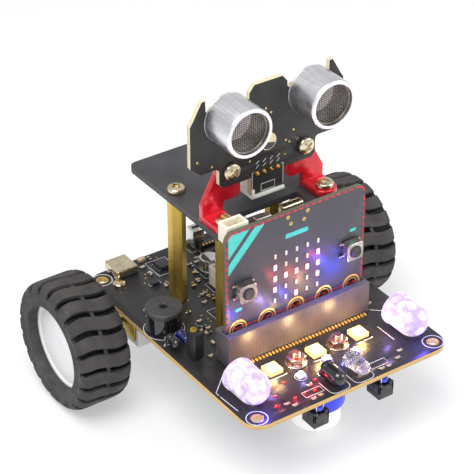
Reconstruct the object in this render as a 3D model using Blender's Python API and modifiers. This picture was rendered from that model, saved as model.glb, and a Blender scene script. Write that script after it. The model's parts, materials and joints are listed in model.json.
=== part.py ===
"""Line follower robot: a two-wheeled board robot with a plug-in controller card and a distance sensor.

Lengths are in millimetres and become metres when a mesh is made. +Z is up, the robot drives
towards -Y, and the origin is on the ground in the middle of the robot.
"""
import math

import bmesh
import bpy
from mathutils import Matrix, Vector

MM = 0.001
GAP = 0.3                  # clearance between pieces that touch
FIT = 0.3                  # radial clearance of a screw or shaft in its hole
PCB = 1.6                  # thickness of a circuit board

# Wheels
WHEEL_R = 21.4
WHEEL_W = 17.9
WHEEL_GAP = 6.2            # side of the main board to the inner face of a tyre
TYRE_BORE_R = 14.2         # radius of the lips that hold the rim
TYRE_LIP = 3.6             # how far the lips reach in from each side
TYRE_SEAT_DEPTH = 1.6      # depth of the groove that the rim sits in
TYRE_SHOULDER = 2.2        # tread down to the edge of the sidewall
TYRE_BROW = 0.5            # tread down to the break in the shoulder's curve
TYRE_BROW_IN = 1.3         # the break and the flat tread, in from the sidewall
TYRE_TREAD_IN = 3.4
HUB_BOSS_R = 3.6
HUB_BOSS_L = 1.6
SHAFT_R = 1.5

# Main board
BOARD_W = 75.0
BOARD_L = 95.5
BOARD_CORNER_R = 6.0
CORNER_HOLE_R = 1.6
CORNER_HOLE_INSET = 4.2
AXLE_BELOW_DECK = 7.0      # top of the main board down to the wheel axis
AXLE_FROM_REAR = 18.8

# Gear motors under the main board
MOTOR_W = 12.0
MOTOR_H = 9.4
MOTOR_L = 24.0
MOTOR_INSET = 3.2          # side of the main board to the gearbox face
GEARBOX_L = 9.0
MOTOR_CAN_R = 5.9
MOTOR_MOUNT_WALL = 1.5
MOTOR_MOUNT_L = 8.4
MOTOR_MOUNT_EAR = 6.0
MOTOR_MOUNT_EAR_T = 2.0

# Controller card, standing in its connector
CARD_FROM_FRONT = 31.0     # front edge of the main board to the face of the card
CARD_W = 51.6
CARD_H = 42.0
CARD_FOOT = 4.6            # main board up to the lower edge of the card
CARD_CORNER_R = 3.0
PAD_HOLE_R = 2.0
PAD_HOLE_UP = 6.8
PAD_PITCH = 10.75
CONNECTOR_END = 1.1        # connector beyond the card at each end
CONNECTOR_WALL = 2.8
CONNECTOR_TOP = 11.4

# Push buttons on the card
BUTTON_X = 20.0
BUTTON_UP = 21.2           # lower edge of the card to the middle of a button
BUTTON_SIDE = 6.0
BUTTON_DEPTH = 3.3
BUTTON_CAP_R = 1.75
BUTTON_CAP_PROUD = 0.9
BUTTON_CAP_SUNK = 1.5
BUTTON_TRAVEL = 0.25
RESET_X = -10.6
RESET_W = 5.6
RESET_H = 3.8
RESET_DEPTH = 2.4
RESET_CAP_R = 1.1
RESET_CAP_SUNK = 1.2

# Sockets on the back of the card
CARD_USB_W = 7.6
CARD_USB_H = 5.4
CARD_USB_DEPTH = 2.7
CARD_USB_PROUD = 0.8       # above the top edge of the card
BATTERY_SOCKET_W = 7.9
BATTERY_SOCKET_H = 6.4
BATTERY_SOCKET_DEPTH = 4.7
BATTERY_SOCKET_INSET = 1.6
BATTERY_SOCKET_PROUD = 0.9
SHELL_WALL = 0.6

# Upper plate on its standoffs
STANDOFF_X = 18.6
STANDOFF_BACK = 11.2       # face of the card back to the front standoffs
STANDOFF_PITCH = 26.5
STANDOFF_L = 37.7
STANDOFF_FLATS = 5.0
PLATE_T = 2.0
PLATE_MARGIN = 3.8         # plate beyond the standoff axes
PLATE_TAIL = 22.3          # plate behind the rear standoff axes
PLATE_CORNER_R = 3.0
NOTCH_SIDE = 6.6           # from a standoff axis in to the side of the notch
NOTCH_DEPTH = 9.0
SCREW_R = 1.45
HEAD_R = 2.8
HEAD_TOP_R = 2.0
HEAD_H = 1.9
SCREW_GRIP = 5.0           # shank inside a standoff

# Brackets that carry the distance sensor
BRACKET_T = 2.0
FOOT_HALF_W = 3.8
SENSOR_BACK = 15.3         # face of the card back to the face of the sensor board
SENSOR_SCREW_X = 13.6
SENSOR_SCREW_UP = 16.7     # above the upper plate
SENSOR_SCREW_TAIL = 2.0    # end of the screw behind the bracket
BRACKET_REACH = 4.9        # upright beyond the screw, towards the middle
BRACKET_TOP = 3.9

# Distance sensor
EYE_X = 15.0
EYE_UP = 35.4
EYE_R = 7.95
EYE_L = 12.0
EYE_MOUTH_R = 6.6
EYE_MOUTH_DEPTH = 1.5
EYE_FLANGE = 0.25
EYE_FLANGE_T = 0.9
EYE_RIM_BEVEL = 0.5
EAR_SIDE = 4.85            # sensor board beyond an eye
EAR_TIP_UP = 7.5           # ear tip above the eye's axis
TONGUE_HALF_W = 6.15
TONGUE_UP = 5.3
TAB_UP = 11.5
TAB_SIDE = 4.1
WING_UP = 18.6
SENSOR_SOCKET_H = 6.0
SENSOR_SOCKET_DEPTH = 6.3
SENSOR_SOCKET_DROP = 1.3

# Ball caster
CASTER_FROM_FRONT = 19.6
CASTER_BOLT_X = 8.0
CASTER_BOLT_R = 1.45
CASTER_BOLT_PROUD = 4.3    # end of a bolt above the main board, through its nut
CASTER_BODY_R = 9.3
CASTER_DISC_T = 5.0
CASTER_FLANGE_T = 2.6
CASTER_EAR_R = 3.4
CASTER_CUP_R = 8.0
CUP_ROOF = 0.7             # cup above the ball's hollow
CUP_IN_DISC = 1.1          # how far the cup reaches up into the disc
BALL_R = 6.0
BALL_SHOW = 3.9            # how far the ball stands out of its cup
BALL_FIT = 0.3

# Lamps and sensors near the front edge
HEADLIGHT_X = 30.0
HEADLIGHT_TIP_IN = 5.6     # front edge back to the tip of the lens
HEADLIGHT_R = 5.0
HEADLIGHT_FLANGE = 0.5
HEADLIGHT_L = 13.5
EYELED_X = 4.5
EYELED_TIP_IN = 0.4
EYELED_R = 2.5
EYELED_FLANGE = 0.4
EYELED_L = 8.6
LINE_SENSOR_X = 12.3
LINE_SENSOR_IN = 3.4
LINE_SENSOR_DROP = 7.3
LINE_SENSOR_SIZE = (5.6, 6.2, 5.4)
LINE_SENSOR_EYE_R = 1.7
LINE_SENSOR_LEG = 0.35

# Side and rear components
BUZZER_R = 6.0
BUZZER_H = 8.2
BUZZER_PORT_R = 1.2
BUZZER_PORT_DEPTH = 2.0
BUZZER_EDGE = 0.3          # buzzer to the side of the board
BUZZER_AHEAD = 19.1        # ahead of the axle
SIDE_LED_BACK = 12.0       # tip of a side lamp behind the face of the card
SIDE_LED_EDGE = 2.4
SIDE_LED_PITCH = 3.7
SIDE_LED_R = 1.5
SIDE_LED_FLANGE = 0.2
SIDE_LED_L = 5.2
SIDE_LED_RISE = 1.6        # main board up to the flange
LAMP_FLANGE_T = 1.2        # thickness of every lamp's flange
LAMP_DOME_STEPS = 5
TRIMMER_SIZE = (3.6, 4.8, 9.2)
TRIMMER_EDGE = 6.3         # side of the main board to the middle of the trimmer
TRIMMER_BACK = 9.0
TRIMMER_SCREW_R = 1.1
TRIMMER_SCREW_H = 2.0
TRIMMER_SCREW_PROUD = 0.3
TRIMMER_SLOT_W = 0.5
TRIMMER_SLOT_DEPTH = 0.5
CHARGE_EDGE = 12.1         # side of the main board to the middle of the socket
CHARGE_SIZE = (7.8, 8.6, 3.0)
CHARGE_PROUD = 0.9
SWITCH_X = 3.0
SWITCH_FROM_REAR = 4.4
SWITCH_SIDE = 4.4
SWITCH_H = 7.2
SWITCH_SLOT = (2.9, 1.5, 2.6)
SWITCH_KNOB = (1.2, 0.9, 2.2)
SWITCH_TRAVEL = 1.0
POWER_SOCKET_SIZE = (5.8, 7.4, 7.2)
POWER_SOCKET_X = -3.3
POWER_SOCKET_BACK = 35.0

# Battery under the main board
CELL_R = 8.2
CELL_L = 34.5
HOLDER_WALL = 1.3
HOLDER_BACK = 18.4         # face of the card back to the middle of the cell
HOLDER_ARM = 1.8     # how far the arms reach below the cell's axis

# Positions that follow from the sizes above
DECK = WHEEL_R + AXLE_BELOW_DECK
UNDER = DECK - PCB
LENGTH = BOARD_L - AXLE_FROM_REAR + WHEEL_R
FRONT = -LENGTH / 2
REAR = FRONT + BOARD_L
AXLE_Y = REAR - AXLE_FROM_REAR
CARD_Y = FRONT + CARD_FROM_FRONT
CARD_BACK = CARD_Y + PCB
CARD_LOW = DECK + CARD_FOOT
CARD_TOP = CARD_LOW + CARD_H
STANDOFF_Y = (CARD_Y + STANDOFF_BACK, CARD_Y + STANDOFF_BACK + STANDOFF_PITCH)
PLATE_LOW = DECK + GAP + STANDOFF_L + GAP
PLATE_TOP = PLATE_LOW + PLATE_T
SENSOR_Y = CARD_Y + SENSOR_BACK
SENSOR_REAR = SENSOR_Y + PCB
EYE_Z = PLATE_TOP + EYE_UP
CASTER_Y = FRONT + CASTER_FROM_FRONT
CUP_TOP = 2 * BALL_R + BALL_FIT + CUP_ROOF
CASTER_SKIRT_LOW = CUP_TOP - CUP_IN_DISC
HUB_R = TYRE_BORE_R + TYRE_SEAT_DEPTH - GAP
HUB_HALF_W = WHEEL_W / 2 - TYRE_LIP - GAP
BUTTON_Z = CARD_LOW + BUTTON_UP

FINISHES = {               # red, green, blue, roughness, metallic
    "board_black": (0.035, 0.035, 0.04, 0.35, 0.0),
    "card_grey": (0.12, 0.12, 0.135, 0.4, 0.0),
    "plate_black": (0.05, 0.05, 0.055, 0.45, 0.0),
    "bracket_red": (0.72, 0.015, 0.03, 0.35, 0.2),
    "brass": (0.72, 0.5, 0.16, 0.3, 1.0),
    "screw_steel": (0.78, 0.7, 0.55, 0.3, 1.0),
    "aluminium": (0.82, 0.82, 0.84, 0.35, 1.0),
    "steel": (0.7, 0.7, 0.7, 0.3, 1.0),
    "tyre_rubber": (0.06, 0.058, 0.058, 0.75, 0.0),
    "hub_white": (0.9, 0.9, 0.9, 0.4, 0.0),
    "plastic_white": (0.88, 0.87, 0.82, 0.45, 0.0),
    "plastic_black": (0.02, 0.02, 0.022, 0.4, 0.0),
    "plastic_blue": (0.03, 0.04, 0.7, 0.35, 0.0),
    "connector_smoke": (0.35, 0.31, 0.35, 0.3, 0.0),
    "lamp_clear": (0.95, 0.92, 1.0, 0.1, 0.0),
    "cell_sleeve": (0.1, 0.35, 0.2, 0.4, 0.0),
}

WHEEL_SIDES = 44           # sides of a wheel
ROUND = 32                 # sides of a large round piece
HEAD_SIDES = 20            # sides of a screw head, a lamp or a button
SMALL_ROUND = 14           # sides of a hole or a shank
PLATE_HOLE = 20            # sides of a hole in a flat piece
OVERLAP = 0.2              # how far a shape runs into the one it is joined to
PAST = 1.0                 # how far a cut runs out of the piece it cuts


def clear_scene():
    """Remove whatever objects the file opened with."""
    for old in list(bpy.data.objects):
        bpy.data.objects.remove(old, do_unlink=True)


def new_collection(name):
    """Make a collection and link it to the scene."""
    group = bpy.data.collections.new(name)
    bpy.context.scene.collection.children.link(group)
    return group


def new_materials():
    """Make one Principled material for each finish."""
    made = {}
    for name, (red, green, blue, roughness, metallic) in FINISHES.items():
        material = bpy.data.materials.new(name)
        material.use_nodes = True
        shader = material.node_tree.nodes["Principled BSDF"]
        shader.inputs["Base Color"].default_value = (red, green, blue, 1.0)
        shader.inputs["Roughness"].default_value = roughness
        shader.inputs["Metallic"].default_value = metallic
        material.diffuse_color = (red, green, blue, 1.0)
        made[name] = material
    return made


clear_scene()
PARTS = new_collection("line_follower_robot")
TOOLS = new_collection("cutters")
MATERIALS = new_materials()


# Shapes. Each returns a bmesh in millimetres at its place in the robot.

def block(centre, size):
    """A box from its middle and its three sizes."""
    bm = bmesh.new()
    bmesh.ops.create_cube(bm, size=1.0)
    bmesh.ops.scale(bm, vec=Vector(size), verts=bm.verts)
    bmesh.ops.translate(bm, vec=Vector(centre), verts=bm.verts)
    return bm


def span(low, high):
    """A box from its lowest and highest corners."""
    low = Vector(low)
    high = Vector(high)
    return block((low + high) / 2, high - low)


TURNS = {                  # the turn that takes +Z to each direction
    "x": Matrix.Rotation(math.pi / 2, 3, "Y"),
    "-x": Matrix.Rotation(-math.pi / 2, 3, "Y"),
    "y": Matrix.Rotation(-math.pi / 2, 3, "X"),
    "-y": Matrix.Rotation(math.pi / 2, 3, "X"),
    "z": Matrix.Identity(3),
    "-z": Matrix.Rotation(math.pi, 3, "X"),
}


def step(direction, distance):
    """A vector of some length in a named direction."""
    return TURNS[direction] @ Vector((0, 0, distance))


def opposite(direction):
    """The name of the direction that points the other way."""
    return direction[1:] if direction.startswith("-") else "-" + direction


def rod(start, direction, radius, length, sides=ROUND, end_radius=None):
    """A cylinder or cone from the middle of its first end, in a named direction."""
    bm = bmesh.new()
    bmesh.ops.create_cone(
        bm, cap_ends=True, segments=sides, radius1=radius,
        radius2=radius if end_radius is None else end_radius, depth=length)
    bmesh.ops.translate(bm, vec=(0, 0, length / 2), verts=bm.verts)
    bmesh.ops.rotate(bm, matrix=TURNS[direction], verts=bm.verts)
    bmesh.ops.translate(bm, vec=Vector(start), verts=bm.verts)
    return bm


def outward(sign):
    """The direction away from the robot's middle on one side."""
    return "x" if sign > 0 else "-x"


def arc(centre, radius, first, last, steps=6):
    """Points of a circular arc between two angles in degrees."""
    points = []
    for step in range(steps + 1):
        angle = math.radians(first + (last - first) * step / steps)
        points.append((centre[0] + radius * math.cos(angle), centre[1] + radius * math.sin(angle)))
    return points


def rounded(corners, steps=7):
    """A closed outline from (x, y, fillet radius) corners, with each corner turned into an arc."""
    points = []
    count = len(corners)
    for index, (x, y, radius) in enumerate(corners):
        here = Vector((x, y))
        if radius <= 0:
            points.append((x, y))
            continue
        before = (Vector(corners[index - 1][:2]) - here).normalized()
        after = (Vector(corners[(index + 1) % count][:2]) - here).normalized()
        half = before.angle(after) / 2
        reach = radius / math.tan(half)
        middle = here + (before + after).normalized() * radius / math.sin(half)
        start = here + before * reach - middle
        sweep = start.angle_signed(here + after * reach - middle)
        for step in range(steps + 1):
            point = middle + Matrix.Rotation(-sweep * step / steps, 2) @ start
            points.append((point.x, point.y))
    return points


def rectangle(x_low, x_high, y_low, y_high, radius):
    """Corners of a rectangle with one fillet radius."""
    return [(x_low, y_low, radius), (x_high, y_low, radius),
            (x_high, y_high, radius), (x_low, y_high, radius)]


def mirrored(half):
    """A closed outline's corners from its right half, listed from the bottom up."""
    return half + [(-x, y, radius) for x, y, radius in reversed(half)]


def sheet(outline, low, thickness, axis="z", holes=()):
    """A flat piece from an outline: a filled 2D curve, extruded by half its thickness each way.

    The outline is in x and y for axis z, and in x and z for axis y. Holes are (x, y, radius).
    """
    curve = bpy.data.curves.new("outline", "CURVE")
    curve.dimensions = "2D"
    curve.fill_mode = "BOTH"
    curve.extrude = thickness / 2
    rings = [outline] + [arc(hole[:2], hole[2], 0, 360 - 360 / PLATE_HOLE, PLATE_HOLE - 1)
                         for hole in holes]
    for ring in rings:
        spline = curve.splines.new("POLY")
        spline.points.add(len(ring) - 1)
        for point, (x, y) in zip(spline.points, ring):
            point.co = (x, y, 0, 1)
        spline.use_cyclic_u = True
    guide = bpy.data.objects.new("outline", curve)
    TOOLS.objects.link(guide)
    bpy.context.view_layer.update()
    flat = bpy.data.meshes.new_from_object(guide.evaluated_get(bpy.context.evaluated_depsgraph_get()))
    bm = bmesh.new()
    bm.from_mesh(flat)
    bmesh.ops.remove_doubles(bm, verts=bm.verts, dist=0.001)
    bpy.data.objects.remove(guide, do_unlink=True)
    middle = low + thickness / 2
    if axis == "y":
        bmesh.ops.rotate(bm, matrix=Matrix.Rotation(math.pi / 2, 3, "X"), verts=bm.verts)
        bmesh.ops.translate(bm, vec=(0, middle, 0), verts=bm.verts)
    else:
        bmesh.ops.translate(bm, vec=(0, 0, middle), verts=bm.verts)
    bmesh.ops.recalc_face_normals(bm, faces=bm.faces)
    return bm


def to_mesh(name, bm, origin):
    """Move a bmesh so that the origin is its zero, scale it to metres and store it."""
    bmesh.ops.translate(bm, vec=-Vector(origin), verts=bm.verts)
    bmesh.ops.scale(bm, vec=(MM, MM, MM), verts=bm.verts)
    mesh = bpy.data.meshes.new(name)
    bm.to_mesh(mesh)
    bm.free()
    return mesh


def plus(*shapes):
    """Shaping steps that join shapes to a piece."""
    return [("UNION", shape) for shape in shapes]


def minus(*shapes):
    """Shaping steps that cut shapes out of a piece."""
    return [("DIFFERENCE", shape) for shape in shapes]


def add_part(name, mesh, finish, origin):
    """Make the named object of a part, standing at its origin."""
    mesh.materials.append(MATERIALS[finish])
    part = bpy.data.objects.new(name, mesh)
    part.location = Vector(origin) * MM
    PARTS.objects.link(part)
    return part


def shape_part(part, shaping):
    """Join shapes to a part and cut shapes out of it, in order."""
    for number, (operation, shape) in enumerate(shaping, 1):
        label = f"{part.name}_{operation.lower()}_{number}"
        tool = bpy.data.objects.new(label, to_mesh(label, shape, (0, 0, 0)))
        tool.hide_render = True
        tool.display_type = "WIRE"
        TOOLS.objects.link(tool)
        change = part.modifiers.new(label, "BOOLEAN")
        change.operation = operation
        change.object = tool


def piece(name, bm, finish, origin=(0, 0, 0), shaping=(), bevel=0.0):
    """Make a named part from a bmesh, with an edge bevel and then its shaping steps in order."""
    mesh = to_mesh(name, bm, origin)
    part = add_part(name, mesh, finish, origin)
    if bevel:
        edges = part.modifiers.new("rounded edges", "BEVEL")
        edges.width = bevel * MM
        edges.segments = 1
        edges.limit_method = "ANGLE"
    shape_part(part, shaping)
    mesh.shade_smooth()
    mesh.set_sharp_from_angle(angle=math.radians(35))


def turned_piece(name, profile, finish, origin, direction, steps=ROUND):
    """Make a named turned part from (radius, height) points that run down its outer side.

    The heights are measured from the origin in the named direction. A profile that starts off the
    axis is a closed ring.
    """
    points = [(radius * MM, 0, height * MM) for radius, height in profile]
    edges = [(index, index + 1) for index in range(len(points) - 1)]
    if profile[0][0] > 0:
        edges.append((len(points) - 1, 0))
    mesh = bpy.data.meshes.new(name)
    mesh.from_pydata(points, edges, [])
    part = add_part(name, mesh, finish, origin)
    part.rotation_euler = TURNS[direction].to_euler()
    turn = part.modifiers.new("turned", "SCREW")
    turn.steps = steps
    turn.render_steps = steps
    turn.use_merge_vertices = True
    turn.merge_threshold = 0.00005


def sides():
    """The two sides of the robot: name and sign of x."""
    return (("left", -1), ("right", 1))


# Chassis

def make_main_board():
    inset = CORNER_HOLE_INSET
    holes = []
    for sign in (-1, 1):
        for y in (FRONT + inset, REAR - inset):
            holes.append((sign * (BOARD_W / 2 - inset), y, CORNER_HOLE_R))
        holes.append((sign * CASTER_BOLT_X, CASTER_Y, CASTER_BOLT_R + FIT))
    outline = rounded(rectangle(-BOARD_W / 2, BOARD_W / 2, FRONT, REAR, BOARD_CORNER_R))
    piece("main_board", sheet(outline, UNDER, PCB, holes=holes), "board_black")


def make_standoffs():
    for label, y in zip(("front", "rear"), STANDOFF_Y):
        for side, sign in sides():
            x = sign * STANDOFF_X
            low = DECK + GAP
            hexagon = rod((x, y, low), "z", STANDOFF_FLATS / math.sqrt(3), STANDOFF_L, 6)
            bore = rod((x, y, low + STANDOFF_L + PAST), "-z", SCREW_R + FIT, SCREW_GRIP + 2 * PAST,
                       SMALL_ROUND)
            piece(f"standoff_{label}_{side}", hexagon, "brass", shaping=minus(bore))


def make_top_plate():
    half = STANDOFF_X + PLATE_MARGIN
    low = STANDOFF_Y[0] - PLATE_MARGIN
    high = STANDOFF_Y[1] + PLATE_TAIL
    notch = STANDOFF_X - NOTCH_SIDE
    right = [(notch, low + NOTCH_DEPTH, 1.0), (notch, low, 1.0),
             (half, low, PLATE_CORNER_R), (half, high, PLATE_CORNER_R)]
    holes = [(sign * STANDOFF_X, y, SCREW_R + FIT) for sign in (-1, 1) for y in STANDOFF_Y]
    piece("top_plate", sheet(rounded(mirrored(right)), PLATE_LOW, PLATE_T, holes=holes), "plate_black")


def screw(name, seat, direction, length, shank_r=SCREW_R):
    """A screw whose head rests on its seat and whose shank runs on from there in the direction."""
    seat = Vector(seat)
    head = rod(seat, opposite(direction), HEAD_R, HEAD_H, HEAD_SIDES, end_radius=HEAD_TOP_R)
    shank = rod(seat - step(direction, OVERLAP), direction, shank_r, length + OVERLAP, SMALL_ROUND)
    piece(name, head, "screw_steel", shaping=plus(shank))


def make_plate_screws():
    for label, y in zip(("front", "rear"), STANDOFF_Y):
        for side, sign in sides():
            under_head = PLATE_TOP + GAP
            if label == "front":
                under_head += BRACKET_T + GAP
            length = under_head - (PLATE_LOW - GAP) + SCREW_GRIP
            screw(f"plate_screw_{label}_{side}", (sign * STANDOFF_X, y, under_head), "-z", length)


# Controller card

def make_controller_card():
    outline = rounded([(-CARD_W / 2, CARD_LOW, 0), (CARD_W / 2, CARD_LOW, 0),
                       (CARD_W / 2, CARD_TOP, CARD_CORNER_R), (-CARD_W / 2, CARD_TOP, CARD_CORNER_R)])
    holes = [(column * PAD_PITCH, CARD_LOW + PAD_HOLE_UP, PAD_HOLE_R) for column in range(-2, 3)]
    piece("controller_card", sheet(outline, CARD_Y, PCB, axis="y", holes=holes), "card_grey")


def make_card_connector():
    half = CARD_W / 2 + CONNECTOR_END
    body = span((-half, CARD_Y - CONNECTOR_WALL, DECK + GAP),
                (half, CARD_BACK + CONNECTOR_WALL, DECK + CONNECTOR_TOP))
    slot = span((-CARD_W / 2 - GAP, CARD_Y - GAP, CARD_LOW - GAP),
                (CARD_W / 2 + GAP, CARD_BACK + GAP, DECK + CONNECTOR_TOP + PAST))
    piece("card_connector", body, "connector_smoke", shaping=minus(slot))


def make_card_buttons():
    for label, sign in (("a", -1), ("b", 1)):
        x = sign * BUTTON_X
        face = CARD_Y - GAP - BUTTON_DEPTH
        housing = block((x, face + BUTTON_DEPTH / 2, BUTTON_Z), (BUTTON_SIDE, BUTTON_DEPTH, BUTTON_SIDE))
        well = rod((x, face - PAST, BUTTON_Z), "y", BUTTON_CAP_R + FIT,
                   PAST + BUTTON_CAP_SUNK + BUTTON_TRAVEL + GAP, HEAD_SIDES)
        piece(f"button_{label}_housing", housing, "steel", shaping=minus(well), bevel=0.3)
        start = (x, face - BUTTON_CAP_PROUD, BUTTON_Z)
        piece(f"button_{label}_plunger",
              rod(start, "y", BUTTON_CAP_R, BUTTON_CAP_PROUD + BUTTON_CAP_SUNK, HEAD_SIDES),
              "plastic_black", origin=start)


def make_reset_button():
    back = CARD_BACK + GAP
    z = CARD_TOP - RESET_H / 2
    housing = block((RESET_X, back + RESET_DEPTH / 2, z), (RESET_W, RESET_DEPTH, RESET_H))
    foot = back + RESET_DEPTH - RESET_CAP_SUNK
    well = rod((RESET_X, foot - BUTTON_TRAVEL - GAP, z), "y", RESET_CAP_R + FIT, RESET_DEPTH, SMALL_ROUND)
    piece("reset_button_housing", housing, "steel", shaping=minus(well), bevel=0.25)
    start = (RESET_X, foot, z)
    cap = rod(start, "y", RESET_CAP_R, RESET_CAP_SUNK + BUTTON_CAP_PROUD, SMALL_ROUND)
    piece("reset_button_plunger", cap, "plastic_white", origin=start)


def make_card_sockets():
    back = CARD_BACK + GAP
    top = CARD_TOP + CARD_USB_PROUD
    shell = block((0, back + CARD_USB_DEPTH / 2, top - CARD_USB_H / 2),
                  (CARD_USB_W, CARD_USB_DEPTH, CARD_USB_H))
    mouth = block((0, back + CARD_USB_DEPTH / 2, top),
                  (CARD_USB_W - 2 * SHELL_WALL, CARD_USB_DEPTH - 2 * SHELL_WALL, CARD_USB_H))
    piece("card_usb_socket", shell, "steel", shaping=minus(mouth), bevel=0.3)
    x = -CARD_W / 2 + BATTERY_SOCKET_INSET + BATTERY_SOCKET_W / 2
    top = CARD_TOP + BATTERY_SOCKET_PROUD
    body = block((x, back + BATTERY_SOCKET_DEPTH / 2, top - BATTERY_SOCKET_H / 2),
                 (BATTERY_SOCKET_W, BATTERY_SOCKET_DEPTH, BATTERY_SOCKET_H))
    mouth = block((x, back + BATTERY_SOCKET_DEPTH / 2, top),
                  (BATTERY_SOCKET_W - 3 * SHELL_WALL, BATTERY_SOCKET_DEPTH - 3 * SHELL_WALL,
                   BATTERY_SOCKET_H))
    piece("card_battery_socket", body, "plastic_white", shaping=minus(mouth))


# Distance sensor

def make_brackets():
    foot_low = PLATE_TOP + GAP
    foot_top = foot_low + BRACKET_T
    front = SENSOR_REAR + GAP
    for side, sign in sides():
        screw = Vector((sign * STANDOFF_X, STANDOFF_Y[0]))
        upright_back = front + BRACKET_T
        foot = rounded([(screw.x - FOOT_HALF_W, upright_back, 0),
                        (screw.x - FOOT_HALF_W, screw.y - FOOT_HALF_W, FOOT_HALF_W - 0.1),
                        (screw.x + FOOT_HALF_W, screw.y - FOOT_HALF_W, FOOT_HALF_W - 0.1),
                        (screw.x + FOOT_HALF_W, upright_back, 0)], steps=6)
        inner = SENSOR_SCREW_X - BRACKET_REACH
        hole_z = PLATE_TOP + SENSOR_SCREW_UP
        outer = STANDOFF_X + FOOT_HALF_W
        top = hole_z + BRACKET_TOP
        upright = [(STANDOFF_X - FOOT_HALF_W, foot_low, 0), (outer, foot_low, 0),
                   (outer, foot_top + FOOT_HALF_W, 1.5), (SENSOR_SCREW_X + BRACKET_TOP, hole_z - 1.5, 1.0),
                   (SENSOR_SCREW_X + BRACKET_TOP, top, BRACKET_TOP - 0.5), (inner, top, BRACKET_TOP - 0.5),
                   (inner, foot_top + FOOT_HALF_W - 0.6, 1.8),
                   (STANDOFF_X - FOOT_HALF_W, foot_top + FOOT_HALF_W - 0.6, 0.6)]
        upright = [(sign * x, z, radius) for x, z, radius in upright]
        base = sheet(foot, foot_low, BRACKET_T, holes=[(screw.x, screw.y, SCREW_R + FIT)])
        rise = sheet(rounded(upright), front, BRACKET_T, axis="y",
                     holes=[(sign * SENSOR_SCREW_X, hole_z, SCREW_R + FIT)])
        piece(f"sensor_bracket_{side}", base, "bracket_red", shaping=plus(rise))


def make_sensor_board():
    low = PLATE_TOP
    side = EYE_X + EYE_R + EAR_SIDE
    tab = SENSOR_SCREW_X + TAB_SIDE
    ear_tip = EYE_Z + EAR_TIP_UP
    dip = EYE_Z + 2.9
    ear_inner = EYE_X + EYE_R - 0.8
    crest = EYE_X - EYE_R - 0.15
    right = [(TONGUE_HALF_W, low + TONGUE_UP, 0), (TONGUE_HALF_W, low + TAB_UP, 0),
             (tab - 1.3, low + TAB_UP, 0), (tab, low + TAB_UP + 1.5, 0), (tab, low + WING_UP, 1.3),
             (side - 3.6, low + WING_UP, 0), (side, low + WING_UP + 3.1, 0.8), (side, EYE_Z + 0.3, 0.8),
             (side - 1.1, EYE_Z + 2.0, 0), (side - 4.2, ear_tip, 0), (ear_inner + 0.2, ear_tip, 0),
             (ear_inner, dip, 1.0), (crest, dip, 1.0), (crest, ear_tip - 2.2, 0),
             (crest - 1.8, ear_tip, 0)]
    holes = [(sign * SENSOR_SCREW_X, low + SENSOR_SCREW_UP, SCREW_R + FIT) for sign in (-1, 1)]
    piece("sensor_board", sheet(rounded(mirrored(right)), SENSOR_Y, PCB, axis="y", holes=holes),
          "board_black")


def make_eyes():
    back = SENSOR_Y - GAP
    rim = EYE_R - EYE_RIM_BEVEL
    profile = [(0, EYE_L - EYE_MOUTH_DEPTH), (EYE_MOUTH_R, EYE_L - EYE_MOUTH_DEPTH), (EYE_MOUTH_R, EYE_L),
               (rim, EYE_L), (EYE_R, EYE_L - EYE_RIM_BEVEL), (EYE_R, EYE_FLANGE_T),
               (EYE_R + EYE_FLANGE, EYE_FLANGE_T), (EYE_R + EYE_FLANGE, 0), (0, 0)]
    for side, sign in sides():
        turned_piece(f"sensor_eye_{side}", profile, "aluminium", (sign * EYE_X, back, EYE_Z), "-y")


def make_sensor_details():
    for side, sign in sides():
        seat = (sign * SENSOR_SCREW_X, SENSOR_Y - GAP, PLATE_TOP + SENSOR_SCREW_UP)
        screw(f"sensor_screw_{side}", seat, "y", GAP + PCB + GAP + BRACKET_T + SENSOR_SCREW_TAIL)
    low = PLATE_TOP + TONGUE_UP - SENSOR_SOCKET_DROP
    back = SENSOR_REAR + GAP
    body = span((-TONGUE_HALF_W, back, low),
                (TONGUE_HALF_W, back + SENSOR_SOCKET_DEPTH, low + SENSOR_SOCKET_H))
    wall = 2 * SHELL_WALL
    mouth = span((-TONGUE_HALF_W + wall, back + wall, low + wall),
                 (TONGUE_HALF_W - wall, back + SENSOR_SOCKET_DEPTH + PAST, low + SENSOR_SOCKET_H - wall))
    piece("sensor_socket", body, "plastic_white", shaping=minus(mouth))


# Drive

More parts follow.
